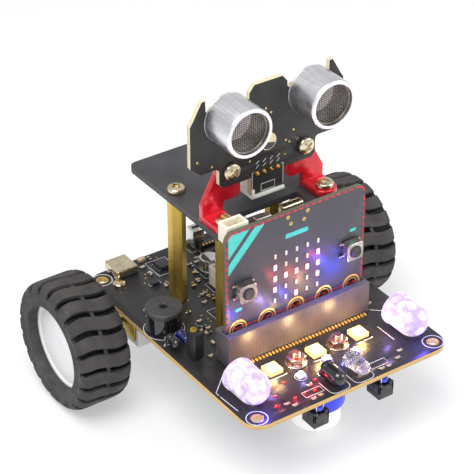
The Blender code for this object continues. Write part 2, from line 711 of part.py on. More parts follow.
def make_wheels():
    inner_face = BOARD_W / 2 + WHEEL_GAP
    middle = inner_face + WHEEL_W / 2
    half = WHEEL_W / 2
    seat_r = TYRE_BORE_R + TYRE_SEAT_DEPTH
    seat_half = half - TYRE_LIP
    brow = WHEEL_R - TYRE_BROW
    tyre_profile = [(TYRE_BORE_R, half), (WHEEL_R - TYRE_SHOULDER, half),
                    (brow, half - TYRE_BROW_IN), (WHEEL_R, half - TYRE_TREAD_IN),
                    (WHEEL_R, TYRE_TREAD_IN - half), (brow, TYRE_BROW_IN - half),
                    (WHEEL_R - TYRE_SHOULDER, -half), (TYRE_BORE_R, -half), (TYRE_BORE_R, -seat_half),
                    (seat_r, -seat_half), (seat_r, seat_half), (TYRE_BORE_R, seat_half)]
    hub_face = middle - HUB_HALF_W
    boss_end = hub_face - HUB_BOSS_L
    shaft_root = BOARD_W / 2 - MOTOR_INSET + GAP
    shaft_tip = middle
    for side, sign in sides():
        hub_origin = (sign * middle, AXLE_Y, WHEEL_R)
        away = outward(sign)
        turned_piece(f"tyre_{side}", tyre_profile, "tyre_rubber", hub_origin, "x", WHEEL_SIDES)
        hub = rod((sign * hub_face, AXLE_Y, WHEEL_R), away, HUB_R, 2 * HUB_HALF_W, WHEEL_SIDES)
        boss = rod((sign * boss_end, AXLE_Y, WHEEL_R), away, HUB_BOSS_R, HUB_BOSS_L + OVERLAP, HEAD_SIDES)
        bore = rod((sign * (boss_end - PAST), AXLE_Y, WHEEL_R), away, SHAFT_R + FIT,
                   shaft_tip + GAP - boss_end + PAST, SMALL_ROUND)
        piece(f"hub_{side}", hub, "hub_white", origin=hub_origin, shaping=plus(boss) + minus(bore))
        shaft = rod((sign * shaft_root, AXLE_Y, WHEEL_R), away, SHAFT_R, shaft_tip - shaft_root,
                    SMALL_ROUND)
        piece(f"wheel_shaft_{side}", shaft, "steel", origin=hub_origin)


def make_motors():
    face = BOARD_W / 2 - MOTOR_INSET
    for side, sign in sides():
        gearbox = block((sign * (face - GEARBOX_L / 2), AXLE_Y, WHEEL_R), (GEARBOX_L, MOTOR_W, MOTOR_H))
        can = rod((sign * (face - MOTOR_L), AXLE_Y, WHEEL_R), outward(sign), MOTOR_CAN_R,
                  MOTOR_L - GEARBOX_L + OVERLAP, ROUND)
        flats = []
        for up in (-1, 1):
            flat = MOTOR_CAN_R
            flats.append(block((sign * (face - MOTOR_L / 2), AXLE_Y, WHEEL_R + up * (MOTOR_H + flat) / 2),
                               (MOTOR_L + 2 * PAST, MOTOR_W + 2 * PAST, flat)))
        piece(f"motor_{side}", gearbox, "brass", shaping=plus(can) + minus(*flats))


def make_motor_mounts():
    wall = MOTOR_MOUNT_WALL
    inner_half = MOTOR_W / 2 + GAP
    high = UNDER - GAP
    low = WHEEL_R - MOTOR_H / 2 - GAP - wall
    ear = high - MOTOR_MOUNT_EAR_T
    for side, sign in sides():
        x = sign * (BOARD_W / 2 - MOTOR_INSET - GEARBOX_L / 2)
        lip = MOTOR_MOUNT_L / 2
        body = span((x - lip, AXLE_Y - inner_half - wall, low), (x + lip, AXLE_Y + inner_half + wall, high))
        ears = span((x - lip, AXLE_Y - inner_half - wall - MOTOR_MOUNT_EAR, ear),
                    (x + lip, AXLE_Y + inner_half + wall + MOTOR_MOUNT_EAR, high))
        space = span((x - lip - PAST, AXLE_Y - inner_half, WHEEL_R - MOTOR_H / 2 - GAP),
                     (x + lip + PAST, AXLE_Y + inner_half, high + PAST))
        piece(f"motor_mount_{side}", body, "plastic_white",
              shaping=plus(ears) + minus(space))


# Caster

def ball(radius):
    """A ball around the middle of the caster's ball."""
    bm = bmesh.new()
    bmesh.ops.create_uvsphere(bm, u_segments=24, v_segments=14, radius=radius)
    bmesh.ops.translate(bm, vec=(0, CASTER_Y, BALL_R), verts=bm.verts)
    return bm


def make_caster():
    high = UNDER - GAP
    ears_low = high - CASTER_FLANGE_T
    disc_top = CASTER_SKIRT_LOW + CASTER_DISC_T
    neck_half = CASTER_BOLT_X - HEAD_R - 2 * GAP
    disc = rod((0, CASTER_Y, CASTER_SKIRT_LOW), "z", CASTER_BODY_R, CASTER_DISC_T)
    neck = span((-neck_half, CASTER_Y - CASTER_EAR_R, disc_top - OVERLAP),
                (neck_half, CASTER_Y + CASTER_EAR_R, ears_low + OVERLAP))
    flange = span((-CASTER_BOLT_X, CASTER_Y - CASTER_EAR_R, ears_low),
                  (CASTER_BOLT_X, CASTER_Y + CASTER_EAR_R, high))
    seat = rod((0, CASTER_Y, CUP_TOP + GAP), "-z", CASTER_CUP_R + GAP, CASTER_DISC_T)
    ears = []
    bores = []
    for side, sign in sides():
        x = sign * CASTER_BOLT_X
        ears.append(rod((x, CASTER_Y, ears_low), "z", CASTER_EAR_R, CASTER_FLANGE_T, HEAD_SIDES))
        bores.append(rod((x, CASTER_Y, ears_low - PAST), "z", CASTER_BOLT_R + FIT,
                         CASTER_FLANGE_T + 2 * PAST, SMALL_ROUND))
        under_flange = ears_low - GAP
        screw(f"caster_bolt_{side}", (x, CASTER_Y, under_flange), "z",
              DECK + CASTER_BOLT_PROUD - under_flange, CASTER_BOLT_R)
    piece("caster_body", disc, "plastic_blue", shaping=plus(neck, flange, *ears) + minus(seat, *bores))
    cup = rod((0, CASTER_Y, BALL_SHOW), "z", CASTER_CUP_R, CUP_TOP - BALL_SHOW)
    piece("caster_cup", cup, "plastic_white", shaping=minus(ball(BALL_R + BALL_FIT)))
    piece("caster_ball", ball(BALL_R), "plastic_white", origin=(0, CASTER_Y, BALL_R))


# Lamps and sensors

def lamp(name, tip, radius, flange, length, finish):
    """A domed lamp that lies along -Y, from the flange at its base to its tip."""
    dome = [(radius * math.sin(angle), length - radius * (1 - math.cos(angle)))
            for angle in (math.pi / 2 * part / LAMP_DOME_STEPS for part in range(1, LAMP_DOME_STEPS + 1))]
    profile = [(0, length)] + dome + [(radius, LAMP_FLANGE_T), (radius + flange, LAMP_FLANGE_T),
                                      (radius + flange, 0), (0, 0)]
    base = (tip[0], tip[1] + length, tip[2])
    turned_piece(name, profile, finish, base, "-y", HEAD_SIDES)


def make_lamps():
    seat = DECK + GAP
    front_z = seat + HEADLIGHT_R + HEADLIGHT_FLANGE
    for side, sign in sides():
        lamp(f"headlight_{side}", (sign * HEADLIGHT_X, FRONT + HEADLIGHT_TIP_IN, front_z), HEADLIGHT_R,
             HEADLIGHT_FLANGE, HEADLIGHT_L, "lamp_clear")
    tip_y = FRONT + EYELED_TIP_IN
    for name, sign, finish in (("infrared_receiver", -1, "plastic_black"),
                               ("infrared_lamp", 1, "lamp_clear")):
        lamp(name, (sign * EYELED_X, tip_y, seat + EYELED_R + EYELED_FLANGE), EYELED_R, EYELED_FLANGE,
             EYELED_L, finish)
    x = -BOARD_W / 2 + SIDE_LED_EDGE
    z = seat + SIDE_LED_RISE + SIDE_LED_R + SIDE_LED_FLANGE
    for name, offset, finish in (("obstacle_receiver", 0, "plastic_black"),
                                 ("obstacle_lamp", SIDE_LED_PITCH, "plastic_blue")):
        lamp(name, (x + offset, CARD_Y + SIDE_LED_BACK, z), SIDE_LED_R, SIDE_LED_FLANGE, SIDE_LED_L, finish)


def make_line_sensors():
    width, depth, height = LINE_SENSOR_SIZE
    y = FRONT + LINE_SENSOR_IN
    z = DECK - LINE_SENSOR_DROP
    top = z + height / 2
    half_leg = LINE_SENSOR_LEG / 2
    for side, sign in sides():
        x = sign * LINE_SENSOR_X
        body = block((x, y, z), LINE_SENSOR_SIZE)
        window = rod((x, y, z - height / 2 - PAST), "z", LINE_SENSOR_EYE_R, 2 * PAST, SMALL_ROUND)
        legs = []
        for across in (-1, 1):
            for along in (-1, 1):
                leg_x = x + across * width / 4
                leg_y = y + along * depth / 4
                legs.append(span((leg_x - half_leg, leg_y - half_leg, top - OVERLAP),
                                 (leg_x + half_leg, leg_y + half_leg, UNDER - GAP)))
        piece(f"line_sensor_{side}", body, "plastic_black", shaping=minus(window) + plus(*legs))


# Components on the main board

def make_board_components():
    low = DECK + GAP
    x = -BOARD_W / 2 + BUZZER_EDGE + BUZZER_R
    y = AXLE_Y - BUZZER_AHEAD
    port = rod((x, y, low + BUZZER_H + PAST), "-z", BUZZER_PORT_R, BUZZER_PORT_DEPTH + PAST, SMALL_ROUND)
    piece("buzzer", rod((x, y, low), "z", BUZZER_R, BUZZER_H), "plastic_black", shaping=minus(port),
          bevel=0.4)
    width, depth, height = CHARGE_SIZE
    middle = Vector((-BOARD_W / 2 + CHARGE_EDGE, REAR + CHARGE_PROUD - depth / 2, low + height / 2))
    mouth = block(middle + Vector((0, depth / 2, 0)),
                  (width - 2 * SHELL_WALL, depth, height - 2 * SHELL_WALL))
    piece("charge_socket", block(middle, CHARGE_SIZE), "steel", shaping=minus(mouth), bevel=0.3)
    width, depth, height = POWER_SOCKET_SIZE
    middle = Vector((POWER_SOCKET_X, CARD_Y + POWER_SOCKET_BACK, low + height / 2))
    mouth = block(middle + Vector((0, 0, 2 * SHELL_WALL)),
                  (width - 2 * SHELL_WALL, depth - 2 * SHELL_WALL, height))
    piece("battery_socket", block(middle, POWER_SOCKET_SIZE), "plastic_white", shaping=minus(mouth))


def make_trimmer():
    width, depth, height = TRIMMER_SIZE
    x = -BOARD_W / 2 + TRIMMER_EDGE
    y = CARD_Y + TRIMMER_BACK
    screw_y = y + (depth - width) / 2
    low = DECK + GAP
    screw_low = low + height - TRIMMER_SCREW_H
    well = rod((x, screw_y, screw_low - GAP), "z", TRIMMER_SCREW_R + FIT, TRIMMER_SCREW_H + GAP + PAST,
               SMALL_ROUND)
    piece("trimmer_body", block((x, y, low + height / 2), TRIMMER_SIZE), "plastic_black",
          shaping=minus(well), bevel=0.3)
    origin = (x, screw_y, screw_low)
    slot = block((x, screw_y, low + height + TRIMMER_SCREW_PROUD),
                 (TRIMMER_SCREW_R * 3, TRIMMER_SLOT_W, 2 * TRIMMER_SLOT_DEPTH))
    stem = rod(origin, "z", TRIMMER_SCREW_R, TRIMMER_SCREW_H + TRIMMER_SCREW_PROUD, SMALL_ROUND)
    piece("trimmer_screw", stem, "brass", origin=origin, shaping=minus(slot))


def make_power_switch():
    y = REAR - SWITCH_FROM_REAR
    low = DECK + GAP
    top = low + SWITCH_H
    slot_w, slot_d, slot_h = SWITCH_SLOT
    body = block((SWITCH_X, y, low + SWITCH_H / 2), (SWITCH_SIDE, SWITCH_SIDE, SWITCH_H))
    slot = span((SWITCH_X - slot_w / 2, y - slot_d / 2, top - slot_h),
                (SWITCH_X + slot_w / 2, y + slot_d / 2, top + PAST))
    piece("power_switch_body", body, "steel", shaping=minus(slot), bevel=0.3)
    origin = (SWITCH_X - SWITCH_TRAVEL / 2, y, top - slot_h + GAP + SWITCH_KNOB[2] / 2)
    piece("power_switch_knob", block(origin, SWITCH_KNOB), "plastic_black", origin=origin)


# Battery

def make_battery():
    y = CARD_Y + HOLDER_BACK
    high = UNDER - GAP
    axis_z = high - HOLDER_WALL - GAP - CELL_R
    room_w = CELL_R + GAP
    room_l = CELL_L / 2 + GAP
    tray = span((-room_w - HOLDER_WALL, y - room_l - HOLDER_WALL, axis_z - HOLDER_ARM),
                (room_w + HOLDER_WALL, y + room_l + HOLDER_WALL, high))
    round_room = rod((0, y - room_l, axis_z), "y", room_w, 2 * room_l)
    room_below = span((-room_w, y - room_l, axis_z - CELL_R), (room_w, y + room_l, axis_z))
    piece("battery_holder", tray, "plastic_black", shaping=minus(round_room, room_below))
    piece("battery_cell", rod((0, y - CELL_L / 2, axis_z), "y", CELL_R, CELL_L), "cell_sleeve", bevel=0.4)


make_main_board()
make_standoffs()
make_top_plate()
make_plate_screws()
make_controller_card()
make_card_connector()
make_card_buttons()
make_reset_button()
make_card_sockets()
make_brackets()
make_sensor_board()
make_eyes()
make_sensor_details()
make_wheels()
make_motors()
make_motor_mounts()
make_caster()
make_lamps()
make_line_sensors()
make_board_components()
make_trimmer()
make_power_switch()
make_battery()
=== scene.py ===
"""Looks of a line follower robot: boards, wheels, sensor, lamps, fasteners and their finishes.

Lengths are in millimetres and become metres when a mesh is made. +Z is up, the robot drives
towards -Y. Every position comes from the frame's solids or from a named size.
"""
import json
import math

import bmesh
import bpy
import numpy as np
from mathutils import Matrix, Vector


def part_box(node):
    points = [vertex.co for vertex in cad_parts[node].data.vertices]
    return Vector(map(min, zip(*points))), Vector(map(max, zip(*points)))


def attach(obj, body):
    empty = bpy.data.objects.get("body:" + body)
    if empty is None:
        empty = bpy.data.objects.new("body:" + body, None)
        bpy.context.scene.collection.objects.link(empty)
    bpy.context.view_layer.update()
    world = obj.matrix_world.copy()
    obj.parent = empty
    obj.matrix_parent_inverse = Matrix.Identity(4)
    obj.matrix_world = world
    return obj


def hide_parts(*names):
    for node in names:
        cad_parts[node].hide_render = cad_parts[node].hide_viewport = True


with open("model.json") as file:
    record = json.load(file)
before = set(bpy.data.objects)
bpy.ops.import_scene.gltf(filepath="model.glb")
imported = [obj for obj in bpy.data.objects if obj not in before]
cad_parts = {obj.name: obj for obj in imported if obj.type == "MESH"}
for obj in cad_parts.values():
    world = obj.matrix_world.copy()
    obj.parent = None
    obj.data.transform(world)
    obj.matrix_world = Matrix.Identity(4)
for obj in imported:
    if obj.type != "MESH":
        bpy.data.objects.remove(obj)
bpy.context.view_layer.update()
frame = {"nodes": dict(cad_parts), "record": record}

MM = 0.001
RECORD = frame["record"]
BODY_OF = {node: body for body, nodes in RECORD["behaviour"]["bodies"].items() for node in nodes}
SLOT_OF = {entry["node"]: entry["material_slot"] for entry in RECORD["subparts"]}
SIDES = (("left", -1), ("right", 1))

TURNS = {                       # rotation that takes +Z to each direction
    "z": np.eye(3),
    "-z": np.diag([1.0, -1.0, -1.0]),
    "y": np.array([[1.0, 0, 0], [0, 0, 1.0], [0, -1.0, 0]]),
    "-y": np.array([[1.0, 0, 0], [0, 0, -1.0], [0, 1.0, 0]]),
    "x": np.array([[0, 0, 1.0], [0, 1.0, 0], [-1.0, 0, 0]]),
    "-x": np.array([[0, 0, -1.0], [0, 1.0, 0], [1.0, 0, 0]]),
}


def box(node):
    """Lowest corner, highest corner and middle of a frame solid, in millimetres."""
    low, high = (np.array(corner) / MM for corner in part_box(node))
    return low, high, (low + high) / 2


DECK = box("main_board")[1][2]

# Shared sizes, in millimetres
HEAD_RADIUS, HEAD_TALL = 2.8, 1.9       # a pan head M3 screw
M3 = 1.45                               # an M3 thread, a little under size
PITCH = 1.27                            # the edge connector's contacts
SPREAD = 24.765                         # its last contact from the middle
WARM_LAMPS = (-16.4, 0, 16.4)           # along X
SENSOR_PINS = (-3.81, -1.27, 1.27, 3.81)
CORNER_HOLES = [(x, y) for x in (-33.3, 33.3) for y in (-44.85, 42.25)]


# Shapes. A shape is an array of points and a list of face arrays.

def placed(shape, centre=(0, 0, 0), direction="z"):
    """A shape with its +Z turned to a direction and its zero moved to a centre."""
    points, faces = shape
    return points @ TURNS[direction].T + np.asarray(centre, float), faces


def spun(shape, degrees):
    """A shape turned about +Z."""
    angle = math.radians(degrees)
    turn = np.array([[math.cos(angle), -math.sin(angle), 0], [math.sin(angle), math.cos(angle), 0],
        [0, 0, 1]])
    return shape[0] @ turn.T, shape[1]


def joined(shapes):
    """Several shapes as one, with each one's faces counted on from the last."""
    points = []
    faces = []
    count = 0
    for part, part_faces in shapes:
        points.append(part)
        faces += [face + count for face in part_faces]
        count += len(part)
    return np.vstack(points), faces


def grid(points):
    """Quads between neighbours of a (rows, columns, 3) array whose last row joins its first."""
    rows, columns = points.shape[:2]
    row = np.arange(rows)[:, None]
    column = np.arange(columns - 1)[None, :]
    here = row * columns + column
    beside = (row + 1) % rows * columns + column
    quads = np.stack([here, beside, beside + 1, here + 1], axis=-1).reshape(-1, 4)
    return points.reshape(-1, 3), [quads]


def soften(points, radius, steps=3, closed=False):
    """Round an outline's corners: each becomes (1-t)^2 a + 2t(1-t) b + t^2 c.

    b is the corner, and a and c are points a radius away from it along its two sides.
    """
    points = np.asarray(points, float)
    corner = points if closed else points[1:-1]
    before = np.roll(points, 1, 0) if closed else points[:-2]
    after = np.roll(points, -1, 0) if closed else points[2:]

    def along(other):
        side = other - corner
        length = np.linalg.norm(side, axis=1, keepdims=True)
        return corner + side / length * np.minimum(radius, 0.45 * length)

    t = np.linspace(0, 1, steps + 1)[None, :, None]
    curve = ((1 - t) ** 2 * along(before)[:, None] + 2 * t * (1 - t) * corner[:, None]
        + t ** 2 * along(after)[:, None]).reshape(-1, 2)
    return curve if closed else np.vstack([points[:1], curve, points[-1:]])


def angles(sides):
    """Equal angles of one turn, as a column."""
    return np.linspace(0, 2 * np.pi, sides, endpoint=False)[:, None]


def around(angle, radius, height, centre=(0, 0, 0), direction="z"):
    """A closed surface round an axis: x = r cos a, y = r sin a, z = h."""
    points = np.stack([radius * np.cos(angle), radius * np.sin(angle), height + 0 * angle], axis=-1)
    return placed(grid(points), centre, direction)


def lathe(profile, centre=(0, 0, 0), direction="z", sides=48, shape_of=None):
    """A profile of (radius, height) from the top down, turned.

    shape_of(angle) is a factor on the radius, for a section that isn't round.
    """
    radius, height = np.asarray(profile, float).T
    angle = angles(sides)
    factor = 1.0 if shape_of is None else shape_of(angle)
    return around(angle, radius * factor, height, centre, direction)


def drum(radius, height, edge=0.2, centre=(0, 0, 0), direction="z", sides=32):
    """A solid cylinder with rounded rims, standing on its centre."""
    profile = soften([(0, height), (radius, height), (radius, 0), (0, 0)], edge)
    return lathe(profile, centre, direction, sides)


def ring(inner, outer, height, centre=(0, 0, 0), direction="z", sides=40, edge=0.1):
    """A flat ring with rounded rims, standing on its centre."""
    corners = [(inner, height), (outer, height), (outer, 0), (inner, 0)]
    profile = soften(corners, min(edge, height / 3), closed=True)
    return lathe(np.vstack([profile, profile[:1]]), centre, direction, sides)


def rounded_box(centre, size, radius=0.15, steps=2):
    """A box with rounded edges: a small ball's surface carried out to each corner of a smaller box."""
    size = np.asarray(size, float)
    radius = min(radius, size.min() / 2.01)
    quarter = np.linspace(0, np.pi / 2, steps + 1)
    turn = (np.arange(4)[:, None] * np.pi / 2 + quarter).ravel()[:, None]
    rise = np.concatenate([quarter - np.pi / 2, quarter])[None, :]
    side_x = np.repeat([1, -1, -1, 1], steps + 1)[:, None]
    side_y = np.repeat([1, 1, -1, -1], steps + 1)[:, None]
    side_z = np.repeat([-1, 1], steps + 1)[None, :]
    inner = size / 2 - radius
    points = np.stack([side_x * inner[0] + radius * np.cos(turn) * np.cos(rise), side_y * inner[1]
        + radius * np.sin(turn) * np.cos(rise), side_z * inner[2] + radius * np.sin(rise) + 0 * turn],
        axis=-1)
    foot = np.zeros((len(turn), 1, 3))
    foot[..., 2] = -size[2] / 2
    return placed(grid(np.concatenate([foot, points, -foot], axis=1)), centre)


def span(low, high, radius=0.15, steps=2):
    """A rounded box between two corners."""
    low = np.asarray(low, float)
    high = np.asarray(high, float)
    return rounded_box((low + high) / 2, high - low, radius, steps)


def tube(path, radius, sides=8):
    """A round section carried along a path of points, with both ends closed to a point."""
    path = np.asarray(path, float)
    path = np.vstack([path[:1], path, path[-1:]])
    ahead = np.gradient(path[1:-1], axis=0)
    ahead = np.vstack([ahead[:1], ahead, ahead[-1:]])
    ahead /= np.linalg.norm(ahead, axis=1, keepdims=True)
    up = np.array([0, 0, 1.0]) if abs(ahead[:, 2]).max() < 0.9 else np.array([0.31, 0.95, 0])
    across = np.cross(ahead, up)
    across /= np.linalg.norm(across, axis=1, keepdims=True)
    over = np.cross(across, ahead)
    angle = np.linspace(0, 2 * np.pi, sides, endpoint=False)[:, None, None]
    reach = np.full((len(path), 1), float(radius))
    reach[[0, -1]] = 0
    return grid(path + reach * (across * np.cos(angle) + over * np.sin(angle)))


def plate(outline, low, high, edge=0.0, direction="z", centre=(0, 0, 0)):
    """A flat piece from a closed outline: its ring at four heights, and a face at each end.

    The rings at the two ends are drawn in by the edge, along the outline's own normals.
    """
    outline = np.asarray(outline, float)
    ahead = np.roll(outline, -1, 0) - np.roll(outline, 1, 0)
    normal = np.stack([ahead[:, 1], -ahead[:, 0]], axis=1)
    normal /= np.linalg.norm(normal, axis=1, keepdims=True)
    x, y = outline.T
    area = np.sum(x * np.roll(y, -1) - y * np.roll(x, -1))
    inner = outline - normal * edge * np.sign(area)
    rings = [(inner, low), (outline, low + edge), (outline, high - edge), (inner, high)]
    points = np.stack([np.column_stack([xy, np.full(len(xy), z)]) for xy, z in rings], axis=1)
    flat, faces = grid(points)
    ends = np.arange(len(outline))[None, :] * len(rings)
    return placed((flat, faces + [ends, ends + len(rings) - 1]), centre, direction)


def ribbon(path, width, low, high):
    """A printed line: the strip between two parallels of a path, given a thickness."""
    path = np.asarray(path, float)
    ahead = np.gradient(path, axis=0)
    ahead /= np.linalg.norm(ahead, axis=1, keepdims=True)
    aside = np.stack([-ahead[:, 1], ahead[:, 0]], axis=1) * width / 2
    corners = ((-1, low), (1, low), (1, high), (-1, high), (-1, low))
    points = np.stack([np.column_stack([path + sign * aside, np.full(len(path), z)])
        for sign, z in corners], axis=1)
    rows, columns = points.shape[:2]
    flat, faces = grid(points)
    faces = [faces[0][:(rows - 1) * (columns - 1)]]
    ends = np.arange(columns - 1)[None, :]
    return flat, faces + [ends, ends + (rows - 1) * columns]


def circle(x, y, radius, first=0, last=360, steps=40):
    """Points of a circle or of an arc."""
    angle = np.radians(np.linspace(first, last, steps + 1))
    return np.column_stack([x + radius * np.cos(angle), y + radius * np.sin(angle)])


def hexagon(angle):
    """Reach of a hexagon of flat-to-middle distance 1: 1 / cos of the angle from the nearest flat."""
    return 1 / np.cos((angle + np.pi / 6) % (np.pi / 3) - np.pi / 6)


def hex_bar(flats, length, bore, centre, direction="z", sides=60):
    """A hexagonal bar or nut: its end faces are circles, and each corner is cut back to a slope."""
    angle = angles(sides)
    apothem = flats / 2
    corner = apothem * hexagon(angle)
    slope = (corner - apothem) * 0.55
    flat = 0 * angle
    face = apothem * 0.97 + flat
    radius = np.hstack([bore + flat, face, corner, corner, face, bore + flat, bore + flat])
    height = np.hstack([length + flat, length + flat, length - 0.1 - slope, 0.1 + slope, flat, flat,
        length + flat])
    return around(angle, radius, height, centre, direction)


def thread(radius, length, pitch=0.5, centre=(0, 0, 0), direction="z", sides=24):
    """A screw thread: the radius falls and rises once a pitch along the axis and once a turn round it."""
    turns = max(int(length / pitch), 1)
    height = np.linspace(length, 0, turns * 4 + 1)[None, :]
    angle = angles(sides)
    phase = (height / pitch - angle / (2 * np.pi)) % 1
    wave = radius - 0.22 * np.abs(2 * phase - 1)
    wave[:, :2] = radius - 0.3
    points = np.stack([wave * np.cos(angle), wave * np.sin(angle), height + 0 * angle], axis=-1)
    ends = np.zeros((sides, 1, 3))
    top = ends.copy()
    top[..., 2] = length
    return placed(grid(np.concatenate([top, points, ends], axis=1)), centre, direction)


def screw_head(radius, height, centre, direction, turn=20):
    """A domed screw head with a cross recess.

    A square grid is drawn out to a disc by x = u sqrt(1 - v^2/2), y = v sqrt(1 - u^2/2). The dome is
    the height less a share of the squared radius, and the recess is where u or v is close to zero.
    """
    steps = np.array([0.0, 0.09, 0.15, 0.19, 0.3, 0.42, 0.52, 0.58, 0.64, 0.76, 0.88, 1.0])
    u = np.concatenate([-steps[:0:-1], steps])[:, None]
    v = u.T
    x = u * np.sqrt(1 - v ** 2 / 2)
    y = v * np.sqrt(1 - u ** 2 / 2)
    away = np.minimum(abs(u), abs(v))
    along = np.maximum(abs(u), abs(v))
    wall = np.clip((0.19 - away) / 0.05, 0, 1) * np.clip((0.62 - along) / 0.06, 0, 1)
    recess = wall * (0.75 - 0.35 * along) * height
    z = height * (1 - 0.32 * (x ** 2 + y ** 2)) - recess
    skirt = ((1.05, 0.58), (1.085, 0.45), (1.07, 0.0), (0.0, 0.0))
    for reach, share in skirt:
        x = np.pad(x, 1, mode="edge")
        y = np.pad(y, 1, mode="edge")
        z = np.pad(z, 1, constant_values=share * height)
        edge = np.ones_like(x, bool)
        edge[1:-1, 1:-1] = False
        length = np.where(edge, np.hypot(x, y), 1)
        x = np.where(edge, x / np.maximum(length, 1e-9) * reach, x)
        y = np.where(edge, y / np.maximum(length, 1e-9) * reach, y)
    scale = radius / 1.085
    count = len(x)
    here = (np.arange(count - 1)[:, None] * count + np.arange(count - 1)[None, :]).reshape(-1)
    quads = np.stack([here, here + count, here + count + 1, here + 1], axis=-1)
    points = np.stack([x * scale, y * scale, z], axis=-1).reshape(-1, 3)
    return placed(spun((points, [quads]), turn), centre, direction)


# Pieces

def finished(name, mesh, body, replaces, sharp=None):
    """Put a mesh in the scene as a piece that rides on a body and the solid it replaces."""
    mesh.shade_smooth()
    if sharp:
        mesh.set_sharp_from_angle(angle=math.radians(sharp))
    piece = bpy.data.objects.new(name, mesh)
    bpy.context.scene.collection.objects.link(piece)
    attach(piece, body)
    if replaces:
        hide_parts(*replaces)
    return piece


def add_piece(name, body, slot, replaces=(), sharp=35, **shapes):
    """Make a piece from lists of shapes by finish: doubles are merged and faces turned outwards."""
    points = []
    faces = []
    finish_of_face = []
    count = 0
    for number, group in enumerate(shapes.values()):
        for part, part_faces in group:
            points.append(part)
            for block in part_faces:
                faces += (block + count).tolist()
                finish_of_face += [number] * len(block)
            count += len(part)
    mesh = bpy.data.meshes.new(name)
    mesh.from_pydata((np.vstack(points) * MM).tolist(), [], faces)
    mesh.polygons.foreach_set("material_index", finish_of_face)
    for finish in shapes:
        mesh.materials.append(FINISH[finish])
    bm = bmesh.new()
    bm.from_mesh(mesh)
    bmesh.ops.remove_doubles(bm, verts=bm.verts, dist=1e-7)
    bmesh.ops.recalc_face_normals(bm, faces=bm.faces)
    bm.to_mesh(mesh)
    bm.free()
    finished(name, mesh, body, replaces, sharp)


def stand_for(name, node, sharp=35, **shapes):
    """A piece that takes the place of one frame solid."""
    add_piece(name, BODY_OF[node], SLOT_OF[node], (node,), sharp, **shapes)


def soften_node(name, node, finish, width=0.2, steps=2):
    """A copy of a frame solid with merged points, flat faces joined and its edges rounded."""
    mesh = frame["nodes"][node].data.copy()
    mesh.name = name
    bm = bmesh.new()
    bm.from_mesh(mesh)
    bmesh.ops.remove_doubles(bm, verts=bm.verts, dist=1e-6)
    bmesh.ops.dissolve_limit(bm, angle_limit=math.radians(2), verts=bm.verts, edges=bm.edges)
    bm.to_mesh(mesh)
    bm.free()
    mesh.materials.clear()
    mesh.materials.append(FINISH[finish])
    mesh.polygons.foreach_set("material_index", [0] * len(mesh.polygons))
    piece = finished(name, mesh, BODY_OF[node], (node,))
    rounding = piece.modifiers.new("rounded edges", "BEVEL")
    rounding.width = width * MM
    rounding.segments = steps
    rounding.limit_method = "ANGLE"
    rounding.angle_limit = math.radians(30)
    rounding.harden_normals = True


# Finishes. Patterns are laid out in metres on Object coordinates.

